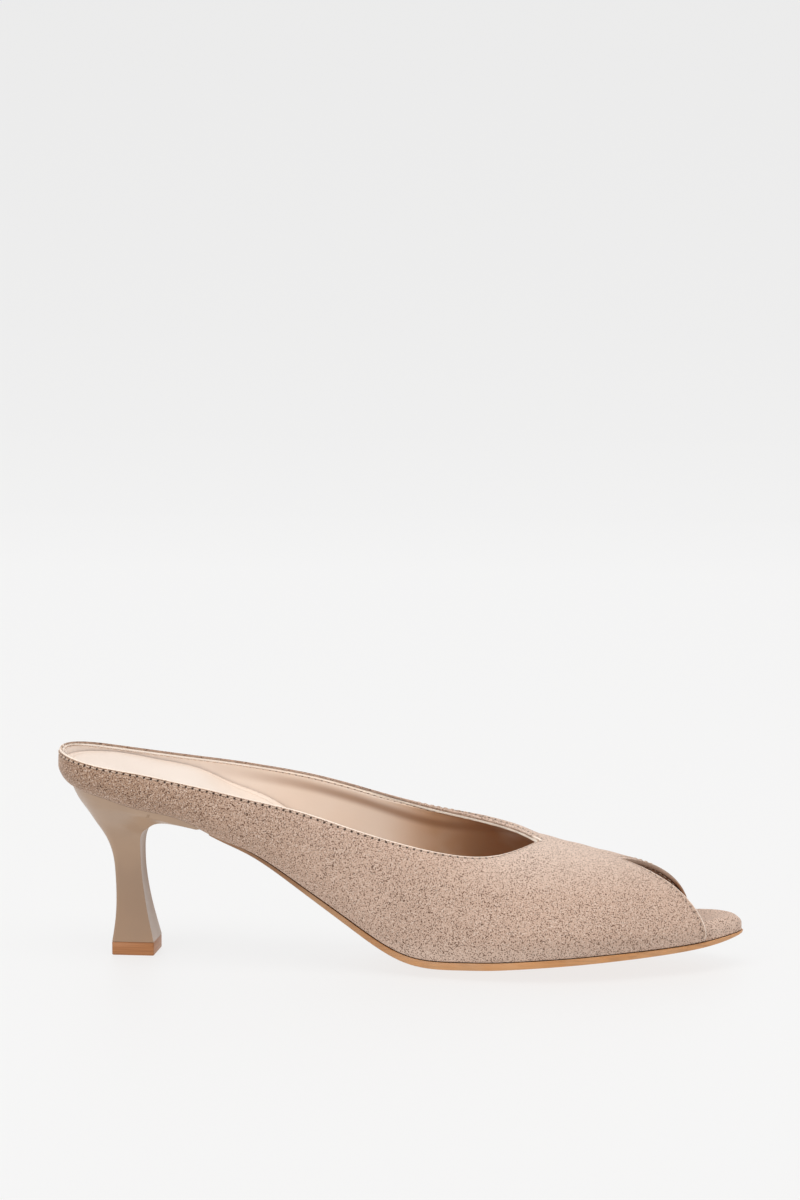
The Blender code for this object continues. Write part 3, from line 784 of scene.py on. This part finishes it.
def makeHeel(finish):
    parts = np.concatenate(
        [[0.0, 0.012], np.linspace(0.035, 0.5, 16)[:-1], np.linspace(0.5, 0.75, 13)[:-1],
         np.linspace(0.75, 1, 9)]
    )
    seat = {side: np.array([seatSide(part, side) for part in parts]) for side in (-1, 1)}
    seatHalf = abs(seat[-1][:, 1]).max()
    seatBack = seat[-1][-1, 0]
    reach = heel["lipReach"]
    high = last["seatHeight"]
    baseUp = (heel["tipHeight"] + heel["clearance"]) / high
    front = (heel["tipBack"] + heel["tipLength"]) / reach
    halfTip = heel["tipWidth"] / 2
    base = (heel["tipBack"] / reach, baseUp, front, baseUp, halfTip / seatHalf, 0.08, 0)
    table = np.vstack([base, heel["rows"]])
    curve = spline(np.arange(len(table)), table)

    def ring(place):
        back, backUp, front, frontUp, half, corner, cup = curve(place)
        back *= reach
        front *= reach
        half *= seatHalf
        lines = {}
        for side in (-1, 1):
            points = []
            for part, rest in zip(parts, seat[side]):
                block = roundedSide(part, corner, back, front, half)
                cupX = back + (rest[0] - seatBack) / (reach - seatBack) * (front - back)
                cupY = abs(rest[1]) * half / seatHalf
                x = block[0] + (cupX - block[0]) * cup
                y = block[1] + (cupY - block[1]) * cup
                up = (backUp + (frontUp - backUp) * (x - back) / (front - back)) * high
                under = feather(x) - heel["clearance"]
                up = min(up, under - heel["lipThick"] * (1 + len(heel["rows"]) - place))
                points.append((x, side * y, up))
            lines[side] = np.array(points)
        return lines

    rings = [ring(place) for place in np.linspace(0, len(heel["rows"]), heel["rings"])]
    rings.append({
        side: np.column_stack([seat[side], feather(seat[side][:, 0]) - heel["clearance"]])
        for side in (-1, 1)
    })
    turns = np.linspace(0, math.pi, 13)[:, None]
    across = 0.5 - 0.5 * np.cos(turns)  # closer together at the crisp edges
    grids = []
    for number, lines in enumerate(rings):
        sides = zip(lines[-1], lines[1])
        grid = np.array([left * (1 - across) + right * across for left, right in sides])
        hollow = 4 * across[:, 0] * (1 - across[:, 0]) * heel["breastHollow"]
        height = number / len(rings)
        share = min(max((height - heel["hollowFrom"]) / heel["hollowSpan"], 0), 1)
        grid[0, :, 0] -= hollow * math.sin(math.pi * share) ** 0.7
        grids.append(grid)
    shell = Shell()
    shell.addRing(border(grids[0])[:-1])
    for low, top in zip(grids, grids[1:]):
        shell.addGrid(np.stack([border(low), border(top)]))
    shell.addGrid(grids[-1])
    piece = shell.toPiece("heelBlock", finish, "heel_lacquer", "heel", heel["crease"])
    bevel = piece.modifiers.new("softened edges", "BEVEL")
    bevel.width = heel["edgeSoft"]
    bevel.segments = 3
    bevel.limit_method = "ANGLE"
    bevel.angle_limit = math.radians(heel["crease"])
    bevel.harden_normals = False
    return piece


def makeTip(finish):
    half = heel["tipWidth"] / 2
    back = heel["tipBack"]
    front = back + heel["tipLength"]
    cut = heel["tipCorner"]
    ring = []
    corners = ((front, half, 0), (back, half, 90), (back, -half, 180), (front, -half, 270))
    for x, y, start in corners:
        centre = np.array([x - math.copysign(cut, x - back - 1e-4), y - math.copysign(cut, y)])
        for step in range(5):
            angle = math.radians(start + step * 22.5)
            ring.append(centre + cut * np.array([math.cos(angle), math.sin(angle)]))
    ring = np.array(ring)
    centre = np.array([(front + back) / 2, 0.0])
    edge = heel["tipEdge"]
    levels = [(edge, 0.0), (edge * 0.3, edge * 0.3), (0.0, edge)]
    levels += [(0.0, heel["tipHeight"] - edge * 0.6), (edge * 0.6, heel["tipHeight"])]
    shell = Shell()
    rings = []
    for inset, height in levels:
        gap = ring - centre
        shrink = 1 - inset / np.abs(gap).max(axis=0)
        rings.append(np.column_stack([centre + gap * shrink, np.full(len(ring), height)]))
    shell.addRing(rings[0][::-1])
    for low, top in zip(rings, rings[1:]):
        pair = np.stack([np.vstack([low, low[:1]]), np.vstack([top, top[:1]])])
        shell.addGrid(pair)
    shell.addRing(rings[-1])
    return shell.toPiece("topPiece", finish, "tip_rubber", "heel_tip", 50)


stitch = {
    "pitch": 2.5 * mm,
    "inset": 1.6 * mm,
    "liningInset": 0.95 * mm,
    "thread": 0.34 * mm,
    "gap": 0.34 * mm,  # from the hole's middle to where the thread comes out
    "rise": 0.14 * mm,
    "sink": 0.10 * mm,  # how deep the ends of a stitch lie in the leather
    "hole": (0.34, 0.52),  # millimetres from the middle of a hole to its soft edge
}


def seamPath(grid, tilt, gap, along, byRow, inset):  # the line at an inset from an edge
    if byRow:
        grid, tilt, gap, along = (part.swapaxes(0, 1) for part in (grid, tilt, gap, along))
    found = []
    for row in range(len(grid)):
        inside = np.nonzero(gap[row] < inset)[0]
        if len(inside) == 0 or gap[row].max() < inset:
            continue
        near = inside.max() if gap[row, 0] < inset else inside.min()
        far = near + 1 if gap[row, 0] < inset else near - 1
        if far < 0 or far >= len(gap[row]):
            continue
        part = (inset - gap[row, near]) / (gap[row, far] - gap[row, near])
        spot, up, u = (
            table[row, near] * (1 - part) + table[row, far] * part
            for table in (grid, tilt, along)
        )
        found.append((*spot, *(up / np.linalg.norm(up)), u))
    return np.array(found)


def sewLine(shell, line, lift):  # one short rounded length of thread between two holes
    line = line[np.argsort(line[:, 6])]
    line = line[np.concatenate([[True], np.diff(line[:, 6]) > 1e-7])]
    first = math.ceil(line[0, 6] / stitch["pitch"] - 0.5)
    end = math.floor(line[-1, 6] / stitch["pitch"] - 0.5)
    ring = np.linspace(0, 2 * math.pi, 7)
    for number in range(first, end):
        start = (number + 0.5) * stitch["pitch"] + stitch["gap"]
        stop = (number + 1.5) * stitch["pitch"] - stitch["gap"]
        share = np.linspace(0, 1, 8)
        u = start + (stop - start) * share
        found = lookUp(u, line[:, 6], line[:, :6])
        spots, up = found[:, :3], found[:, 3:] * lift
        run = np.gradient(spots, axis=0)
        run /= np.linalg.norm(run, axis=1, keepdims=True)
        side = np.cross(run, up)
        arch = np.sin(share * math.pi)
        radius = stitch["thread"] / 2 * (0.35 + 0.65 * arch**0.4)
        lifted = (stitch["rise"] + stitch["sink"]) * arch**0.5 - stitch["sink"]
        spots = spots + up * lifted[:, None]
        tube = (
            spots[:, None]
            + side[:, None] * (np.cos(ring) * 1.15)[None, :, None] * radius[:, None, None]
            + up[:, None] * np.sin(ring)[None, :, None] * radius[:, None, None]
        )
        shell.addGrid(tube)
        shell.addRing(tube[0, :-1])
        shell.addRing(tube[-1, :-1])


def makeThread(finish, name, layer, lift, inset):
    shell = Shell()
    half = len(columns) // 2
    for away, place, byRow in ((rimAway, rimPlace, False), (slitAway, slitPlace, True)):
        for part in (slice(0, half + 1), slice(half, len(columns))):
            edge = (away[part], place[part], byRow, inset)
            sewLine(shell, seamPath(layer[part], faceNormal[part], *edge), lift)
    return shell.toPiece(name, finish, "upper_suede", None, 80)


def toLinear(code):  # sRGB hex to the linear colour that the nodes take
    values = [int(code[index : index + 2], 16) / 255 for index in (1, 3, 5)]
    linear = [v / 12.92 if v <= 0.04045 else ((v + 0.055) / 1.055) ** 2.4 for v in values]
    return (*linear, 1.0)


def addNode(tree, kind, inputs, output=0, **settings):  # inputs: values, colours or outputs
    node = tree.nodes.new("ShaderNode" + kind)
    for name, value in settings.items():
        setattr(node, name, value)
    for name, value in inputs.items():
        if isinstance(value, bpy.types.NodeSocket):
            tree.links.new(value, node.inputs[name])
        else:
            value = toLinear(value) if isinstance(value, str) else value
            node.inputs[name].default_value = value
    return node.outputs[output]


def newFinish(name):
    finish = bpy.data.materials.new(name)
    finish.use_nodes = True
    tree = finish.node_tree
    tree.nodes.clear()
    return finish, tree, addNode(tree, "TexCoord", {}, "Object")


def closeFinish(finish, inputs):  # the shader comes last, on top of what feeds it
    tree = finish.node_tree
    output = tree.nodes.new("ShaderNodeOutputMaterial")
    tree.links.new(addNode(tree, "BsdfPrincipled", inputs), output.inputs[0])
    return finish


def strengthOf(tree, *parts):  # product of numbers, outputs and fades (output, low, high)
    product = None
    for part in parts:
        if isinstance(part, tuple):
            source, low, high, *ends = part
            start, end = ends or (0.0, 1.0)
            fade = {"Value": source, "From Min": low, "From Max": high}
            fade |= {"To Min": start, "To Max": end}
            part = addNode(tree, "MapRange", fade, interpolation_type="SMOOTHSTEP")
        if product is not None:
            part = addNode(tree, "Math", {0: product, 1: part}, operation="MULTIPLY")
        product = part
    return product


def paintOver(tree, base, layers):  # colours on top of each other, each as strong as its parts
    for colour, *parts in layers:
        mix = {0: strengthOf(tree, *parts), 6: base, 7: colour}
        base = addNode(tree, "Mix", mix, 2, data_type="RGBA")
    return base


def edgeDistances(tree):  # millimetres along the nearest edge and in from it
    place = addNode(tree, "UVMap", {}, uv_map="edgeMm")
    along, inset, _ = addNode(tree, "SeparateXYZ", {0: place}).node.outputs
    return along, inset


def offRow(tree, inset, row):  # millimetres to a row at an inset, on either side of it
    gap = addNode(tree, "Math", {0: inset, 1: row}, operation="SUBTRACT")
    return addNode(tree, "Math", {0: gap}, operation="ABSOLUTE")


# painted shade: dark dots where the needle holes sink into the leather
def needleHoles(tree, along, inset, row):
    pitch = stitch["pitch"] / mm
    cell = addNode(tree, "Math", {0: along, 1: pitch}, operation="DIVIDE")
    cell = addNode(tree, "Math", {0: cell}, operation="FRACT")
    across = {0: cell, 1: pitch, 2: -pitch / 2}
    spot = {
        0: addNode(tree, "Math", across, operation="MULTIPLY_ADD"),
        1: offRow(tree, inset, row),
    }
    spot = addNode(tree, "CombineXYZ", spot)
    away = addNode(tree, "VectorMath", {0: spot}, "Value", operation="LENGTH")
    return strengthOf(tree, (away, *stitch["hole"], 1.0, 0.0))


def splitSuede(name, front, back, sewn):
    # Cow split, sanded to a nap: no gloss, soft sheen at grazing angles, a speckle of short
    # fibres that lie different ways. The fibres are far finer than the render shows, so the
    # speckle is drawn about 0.5 mm wide.
    finish, tree, place = newFinish(name)
    x, y, z = addNode(tree, "SeparateXYZ", {0: place}).node.outputs
    nap = {"Vector": place, "Roughness": 0.5, "Distortion": 0.3}
    speck = {**nap, "Scale": 1 / (0.43 * mm), "Detail": 0.0}
    speck = addNode(tree, "TexNoise", speck, "Fac")
    fleck = {**nap, "Scale": 1 / (0.50 * mm), "Detail": 1.0}
    fleck = addNode(tree, "TexNoise", fleck, "Fac")
    patches = {**nap, "Scale": 1 / (26 * mm), "Detail": 2.0, "Distortion": 0.4}
    patches = strengthOf(tree, (addNode(tree, "TexNoise", patches, "Fac"), 0.35, 0.68))
    forward = strengthOf(tree, (x, -0.115, 0.0))
    depth = strengthOf(tree, (forward, 0.1, 0.9, 0.95, 0.78))
    depth = addNode(tree, "Math", {0: patches, 1: 0.12, 2: depth}, operation="MULTIPLY_ADD")
    layers = (
        # painted shade: the suede is darker towards the heel and lighter to the front
        (front, forward),
        # painted highlight: the crest of the vamp is lighter, where the top light falls
        ("#DDC5B5", (z, 0.026, 0.045), (x, 0.015, 0.05)),  # the crest of the vamp
        ("#E6CCBA", (z, 0.016, 0.005), 0.7),  # light from the floor
        ("#A98C7B", patches, 0.12),
        ("#593C29", (speck, 0.50, 0.30), depth),
        ("#EDD8C8", (fleck, 0.52, 0.68), 0.5),
    )
    base = paintOver(tree, back, layers)
    relief = addNode(tree, "Math", {0: fleck, 1: 0.8, 2: speck}, operation="MULTIPLY_ADD")
    normal = addNode(tree, "Bump", {"Height": relief, "Distance": 0.16 * mm, "Strength": 0.75})
    if sewn:
        along, inset = edgeDistances(tree)
        row = stitch["inset"] / mm
        hole = needleHoles(tree, along, inset, row)
        reach = strengthOf(tree, (x, 0.050, 0.065, 0.85, 0.46))
        beyond = addNode(tree, "Math", {0: inset, 1: reach}, operation="SUBTRACT")
        layers = (
            # painted shade in the needle holes
            ("#2A1A12", hole, (x, 0.02, 0.08, 0.92, 0.55)),
            ("#A88E7C", (inset, 0.10, 0.02), 0.7),  # the cut edge
            # painted highlight: a pale line along the cut edge, only on the outer flap of the
            # slit
            ("#FBECDD", (inset, 0.02, 0.10), (beyond, 0.0, -0.16), (y, 0.0056, 0.0040), 0.9),
        )
        base = paintOver(tree, base, layers)
        trough = strengthOf(tree, (offRow(tree, inset, row), 0.0, 1.1))
        dip = addNode(tree, "Math", {0: hole, 1: -1.2, 2: trough}, operation="MULTIPLY_ADD")
        dip = {"Height": dip, "Distance": 0.22 * mm, "Strength": 0.8, "Normal": normal}
        normal = addNode(tree, "Bump", dip)
    inputs = {
        "Base Color": base,
        "Normal": normal,
        "Roughness": 0.95,
        "Specular IOR Level": 0.18,
        "Sheen Weight": 0.5,
        "Sheen Roughness": 0.45,
        "Sheen Tint": "#F0DDD0",
    }
    return closeFinish(finish, inputs)


def liningLeather(name):
    # Sheepskin lining, dyed through and lightly finished: soft gloss, grain about 1 mm wide
    # that hardly shows. Painted light and shade: paler at the heel, and darker and warmer
    # towards the toe, where the inside of the vamp lies in shade.
    finish, tree, place = newFinish(name)
    x = addNode(tree, "SeparateXYZ", {0: place})
    mottle = {"Vector": place, "Scale": 1 / (18 * mm), "Detail": 2.0, "Roughness": 0.5}
    mottle = addNode(tree, "TexNoise", mottle, "Fac")
    grain = {"Vector": place, "Scale": 1 / (1.1 * mm), "Detail": 3.0, "Roughness": 0.6}
    grain = addNode(tree, "TexNoise", grain, "Fac")
    along, inset = edgeDistances(tree)
    row = stitch["liningInset"] / mm
    fold = {  # the shaded fold lies lower towards the toe
        0: strengthOf(tree, (x, -0.080, 0.0, 4.4, 5.1)),
        1: strengthOf(tree, (x, -0.020, 0.030, 0.0, 3.8)),
    }
    fold = offRow(tree, inset, addNode(tree, "Math", fold, operation="ADD"))
    layers = (
        # painted light and shade: paler at the heel, darker and warmer deep inside the vamp
        ("#F4E0CF", (x, -0.09, -0.03)),
        ("#D3A986", (x, -0.012, 0.014)),
        ("#936749", (x, 0.0, 0.034)),
        ("#F8ECE0", (mottle, 0.35, 0.7, 0.0, 0.22)),
        # painted shade in the needle holes
        ("#6B4A35", needleHoles(tree, along, inset, row), 0.75),
        ("#94684A", (fold, 3.2, 0.3), (x, -0.085, -0.01), 0.65),
        # a painted shadow line below the edge, and the raw edge itself
        ("#4A2E1C", (inset, 0.32, 0.46), (inset, 1.05, 0.7), (x, -0.075, 0.0, 0.35, 1.0)),
        ("#FFF6EA", (inset, 0.38, 0.26), (x, -0.03, 0.01, 0.25, 1.0), (x, 0.066, 0.058)),
    )
    normal = addNode(tree, "Bump", {"Height": grain, "Distance": 0.05 * mm, "Strength": 0.5})
    trough = strengthOf(tree, (offRow(tree, inset, row), 0.0, 0.6))
    trough = {"Height": trough, "Distance": 0.15 * mm, "Strength": 0.6, "Normal": normal}
    inputs = {
        "Base Color": paintOver(tree, "#FBEFE5", layers),
        "Normal": addNode(tree, "Bump", trough),
        "Roughness": strengthOf(tree, (grain, 0.3, 0.7, 0.58, 0.70)),
        "Specular IOR Level": 0.15,
    }
    return closeFinish(finish, inputs)


def sockCalf(name):
    # Thin calf over foam: smooth, pale and softly glossy, with a line pressed 3.2 mm in from
    # the edge and a finely pinked edge.
    finish, tree, place = newFinish(name)
    x = addNode(tree, "SeparateXYZ", {0: place})
    mottle = {"Vector": place, "Scale": 1 / (22 * mm), "Detail": 3.0, "Roughness": 0.5}
    mottle = addNode(tree, "TexNoise", mottle | {"Distortion": 0.3}, "Fac")
    grain = {"Vector": place, "Scale": 1 / (0.9 * mm), "Detail": 3.0, "Roughness": 0.6}
    grain = addNode(tree, "TexNoise", grain, "Fac")
    along, inset = edgeDistances(tree)
    pressed = offRow(tree, inset, 3.2)
    wave = addNode(tree, "Math", {0: along, 1: 1.9}, operation="MULTIPLY")
    wave = addNode(tree, "Math", {0: wave}, operation="SINE")
    wave = addNode(tree, "Math", {0: wave}, operation="ABSOLUTE")
    pinked = addNode(tree, "Math", {0: wave, 1: 0.25, 2: inset}, operation="MULTIPLY_ADD")
    layers = (
        ("#F5E8DC", (mottle, 0.3, 0.7)),
        ("#E3D0C2", (x, -0.045, -0.095, 0.0, 0.6)),
        ("#CFB49C", (pressed, 0.1, 0.55, 0.30, 0.0)),
        ("#B8967A", (pinked, 0.15, 0.5, 0.35, 0.0)),
    )
    normal = addNode(tree, "Bump", {"Height": grain, "Distance": 0.03 * mm, "Strength": 0.5})
    groove = {"Height": strengthOf(tree, (pressed, 0.1, 0.55)), "Normal": normal}
    groove |= {"Distance": 0.16 * mm, "Strength": 0.7}
    inputs = {
        "Base Color": paintOver(tree, "#EFDFD0", layers),
        "Normal": addNode(tree, "Bump", groove),
        "Roughness": strengthOf(tree, (mottle, 0.3, 0.7, 0.36, 0.48)),
        "IOR": 1.46,
    }
    return closeFinish(finish, inputs)


def soleBend(name):
    # Vegetable-tanned bend: tan, waxed smooth on its cut edge, which is darker at the
    # feather, and finely scuffed grain with pores underneath.
    finish, tree, place = newFinish(name)
    x, _, z = addNode(tree, "SeparateXYZ", {0: place}).node.outputs
    streak = addNode(tree, "Mapping", {"Vector": place, "Scale": (60.0, 420.0, 1500.0)})
    streak = addNode(tree, "TexNoise", {"Vector": streak, "Scale": 1.0, "Detail": 4.0}, "Fac")
    cloud = {"Vector": place, "Scale": 1 / (14 * mm), "Detail": 3.0, "Roughness": 0.6}
    cloud = addNode(tree, "TexNoise", cloud, "Fac")
    pores = {"Vector": place, "Scale": 1 / (0.7 * mm), "Detail": 3.0, "Roughness": 0.65}
    pores = addNode(tree, "TexNoise", pores, "Fac")
    inset = edgeDistances(tree)[1]
    cutEdge = addNode(tree, "Math", {0: inset, 1: -1.0}, operation="LESS_THAN")
    layers = (
        # painted shade: darker under the waist, lighter towards the ball
        ("#D1935A", (x, -0.05, 0.03)),
        # painted shade along the foot of the cut edge, near the floor
        ("#7A5436", (z, 0.0015, 0.0004), cutEdge, 0.75),
        ("#8A6242", (streak, 0.35, 0.7, 0.0, 0.4)),
        ("#D9B088", (cloud, 0.35, 0.7, 0.0, 0.3)),
    )
    relief = addNode(tree, "Math", {0: streak, 1: pores}, operation="ADD")
    relief = {"Height": relief, "Distance": 0.06 * mm, "Strength": 0.6}
    inputs = {
        "Base Color": paintOver(tree, "#936743", layers),
        "Normal": addNode(tree, "Bump", relief),
        "Roughness": strengthOf(tree, (cloud, 0.3, 0.7, 0.34, 0.5)),
        "Coat Weight": 0.15,
        "Coat Roughness": 0.3,
    }
    return closeFinish(finish, inputs)


def lacquerWrap(name):
    # ABS heel sprayed with taupe lacquer: satin, very slight orange peel 2 mm wide, a little
    # paler towards the seat.
    finish, tree, place = newFinish(name)
    z = addNode(tree, "SeparateXYZ", {0: place}, 2)
    even = {"Vector": place, "Detail": 2.0, "Roughness": 0.5}
    cloud = addNode(tree, "TexNoise", even | {"Scale": 1 / (16 * mm)}, "Fac")
    peel = addNode(tree, "TexNoise", even | {"Scale": 1 / (2.0 * mm)}, "Fac")
    layers = (("#B4967C", (z, 0.012, 0.055)), ("#8F7663", (cloud, 0.35, 0.7, 0.0, 0.25)))
    peel = {"Height": peel, "Distance": 0.02 * mm, "Strength": 0.5}
    inputs = {
        "Base Color": paintOver(tree, "#A6866B", layers),
        "Normal": addNode(tree, "Bump", peel),
        "Roughness": strengthOf(tree, (cloud, 0.3, 0.7, 0.30, 0.40)),
        "Coat Weight": 0.25,
        "Coat Roughness": 0.25,
    }
    return closeFinish(finish, inputs)


def castUrethane(name):
    # Cast polyurethane top piece: caramel, satin, with fine trimming marks that run round it.
    finish, tree, place = newFinish(name)
    lines = addNode(tree, "Mapping", {"Vector": place, "Scale": (40.0, 40.0, 2600.0)})
    lines = addNode(tree, "TexNoise", {"Vector": lines, "Scale": 1.0, "Detail": 2.0}, "Fac")
    grain = {"Vector": place, "Scale": 1 / (0.6 * mm), "Detail": 3.0, "Roughness": 0.6}
    grain = addNode(tree, "TexNoise", grain, "Fac")
    relief = addNode(tree, "Math", {0: lines, 1: grain}, operation="ADD")
    relief = {"Height": relief, "Distance": 0.03 * mm, "Strength": 0.6}
    inputs = {
        "Base Color": paintOver(tree, "#9F663A", (("#B37646", (lines, 0.3, 0.7)),)),
        "Normal": addNode(tree, "Bump", relief),
        "Roughness": 0.42,
        "IOR": 1.5,
    }
    return closeFinish(finish, inputs)


def spunThread(name):
    # Bonded polyester sewing thread, about 0.3 mm: pale beige, two plies that wind at 0.5 mm.
    finish, tree, place = newFinish(name)
    ply = {"Vector": place, "Scale": 1 / (1.6 * mm), "Distortion": 1.5}  # bands 0.5 mm apart
    ply = addNode(tree, "TexWave", ply, "Fac")
    relief = {"Height": ply, "Distance": 0.05 * mm, "Strength": 0.6}
    inputs = {
        "Base Color": paintOver(tree, "#C9AE98", (("#DCC5B2", ply),)),
        "Normal": addNode(tree, "Bump", relief),
        "Roughness": 0.7,
        "Sheen Weight": 0.2,
    }
    return closeFinish(finish, inputs)


studio = {
    "aim": (0.00086, 0.00127, 0.0365),
    "azimuth": 7.0,
    "elevation": 10.5,
    "distance": 1.5,
    "lens": 126.0,
    "axisAzimuth": 7.01,
    "axisDown": 7.0,
    "floorColour": "#545352",
    "floorGlow": 0.765,
    "floorHalf": 40.0,
    "floorFront": -60.0,
    "sweepStart": 1.2,
    "sweepBend": 1.5,
    "sweepTop": 5.0,
    "lampAim": (0.0, 0.0, 0.04),
    "roomGlow": 0.45,
}


def makeFloor():
    inputs = {
        "Base Color": studio["floorColour"],
        "Roughness": 0.55,
        "Specular IOR Level": 0.22,
        "Emission Color": "#FFFFFF",
        "Emission Strength": studio["floorGlow"],
    }
    finish = closeFinish(newFinish("seamless paper, pale grey")[0], inputs)
    start, bend = studio["sweepStart"], studio["sweepBend"]
    profile = [(studio["floorFront"], 0.0), (start, 0.0)]
    for turn in range(1, 13):
        angle = turn / 12 * math.pi / 2
        profile.append((start + bend * math.sin(angle), bend - bend * math.cos(angle)))
    profile.append((start + bend, studio["sweepTop"]))
    mesh = bpy.data.meshes.new("paperSweep")
    half = studio["floorHalf"]
    points = [(x, y, z) for x in (-half, half) for y, z in profile]
    count = len(profile)
    faces = [(n, n + 1, count + n + 1, count + n) for n in range(count - 1)]
    mesh.from_pydata(points, [], [face[::-1] for face in faces])
    for polygon in mesh.polygons:
        polygon.use_smooth = True
    mesh.materials.append(finish)
    floor = bpy.data.objects.new("paperSweep", mesh)
    bpy.context.scene.collection.objects.link(floor)


def makeLight(name, place, size, power):
    light = bpy.data.lights.new(name, "AREA")
    light.shape = "RECTANGLE"
    light.size, light.size_y = size
    light.energy = power
    lamp = bpy.data.objects.new(name, light)
    bpy.context.scene.collection.objects.link(lamp)
    lamp.location = place
    aim = Vector(studio["lampAim"]) - Vector(place)
    lamp.rotation_euler = aim.to_track_quat("-Z", "Y").to_euler()


def makeStudio():
    bpy.context.scene.view_settings.view_transform = "Standard"
    world = bpy.data.worlds.new("soft room")
    bpy.context.scene.world = world
    world.use_nodes = True
    sky = world.node_tree.nodes["Background"]
    sky.inputs["Color"].default_value = (1.0, 1.0, 1.0, 1.0)
    sky.inputs["Strength"].default_value = studio["roomGlow"]
    makeLight("top softbox", (0.05, -0.25, 1.1), (1.1, 0.8), 8.0)
    makeLight("front left softbox", (-0.8, -1.2, 0.7), (0.8, 0.8), 5.5)
    makeLight("right strip", (1.1, -0.3, 0.4), (0.3, 0.9), 1.0)


def heading(azimuth, elevation):  # degrees from the front of the outer side, and up
    turn, rise = math.radians(azimuth), math.radians(elevation)
    flat = math.cos(rise)
    return Vector((math.sin(turn) * flat, -math.cos(turn) * flat, math.sin(rise)))


def makeCamera():
    back = heading(studio["azimuth"], studio["elevation"])
    camera = bpy.data.cameras.new("studio camera")
    camera.lens = studio["lens"]
    camera.sensor_width = 36.0
    camera.clip_end = 50.0
    holder = bpy.data.objects.new("studio camera", camera)
    bpy.context.scene.collection.objects.link(holder)
    holder.location = Vector(studio["aim"]) + back * studio["distance"]
    look = -heading(studio["axisAzimuth"], studio["axisDown"])
    holder.rotation_euler = look.to_track_quat("-Z", "Y").to_euler()
    bpy.context.scene.camera = holder


print("finishes")
suede = splitSuede("split suede, taupe nap", "#C9AB98", "#A6866F", True)
wrapSuede = splitSuede("split suede, footbed wrap", "#D6BAA8", "#BB9C88", False)
lining = liningLeather("sheepskin lining, cream")
calf = sockCalf("calf sock, pale cream")
bend = soleBend("vegetable tanned bend, waxed edge")
lacquer = lacquerWrap("sprayed lacquer, satin taupe")
urethane = castUrethane("cast polyurethane, caramel")
thread = spunThread("bonded polyester thread, beige")

print("upper")
suedeOuter = face - faceNormal * roundOver(edgeAway, upper["edgeRound"])[..., None]
suedeInner = face - faceNormal * upper["suede"]
suedeLayer = closeUpper(suedeOuter, suedeInner, edgeMm)
suedeLayer.toPiece("suedeUpper", suede, "upper_suede", "upper", 50)
liningOuter = face - faceNormal * (upper["suede"] + upper["layerGap"])
liningOuter = raiseEdge(liningOuter, upper["liningAbove"])
liningFace = faceInner - faceNormal * rollUnderRim()[..., None]
liningInner = liningFace + faceNormal * roundOver(edgeAway, upper["liningRound"])[..., None]
liningInner = raiseEdge(liningInner, upper["liningAbove"])
liningLayer = closeUpper(liningOuter, liningInner, edgeMm)
liningLayer.toPiece("upperLining", lining, "sock_leather", None, 50)

print("thread")
makeThread(thread, "toplineThread", face, 1, stitch["inset"])
makeThread(thread, "liningThread", liningFace, -1, stitch["liningInset"])

print("footbed, sock and sole")
makeFootbed(wrapSuede)
makeSock(calf)
makeSole(bend)

print("heel")
makeHeel(lacquer)
makeTip(urethane)

print("studio")
makeFloor()
makeStudio()
makeCamera()
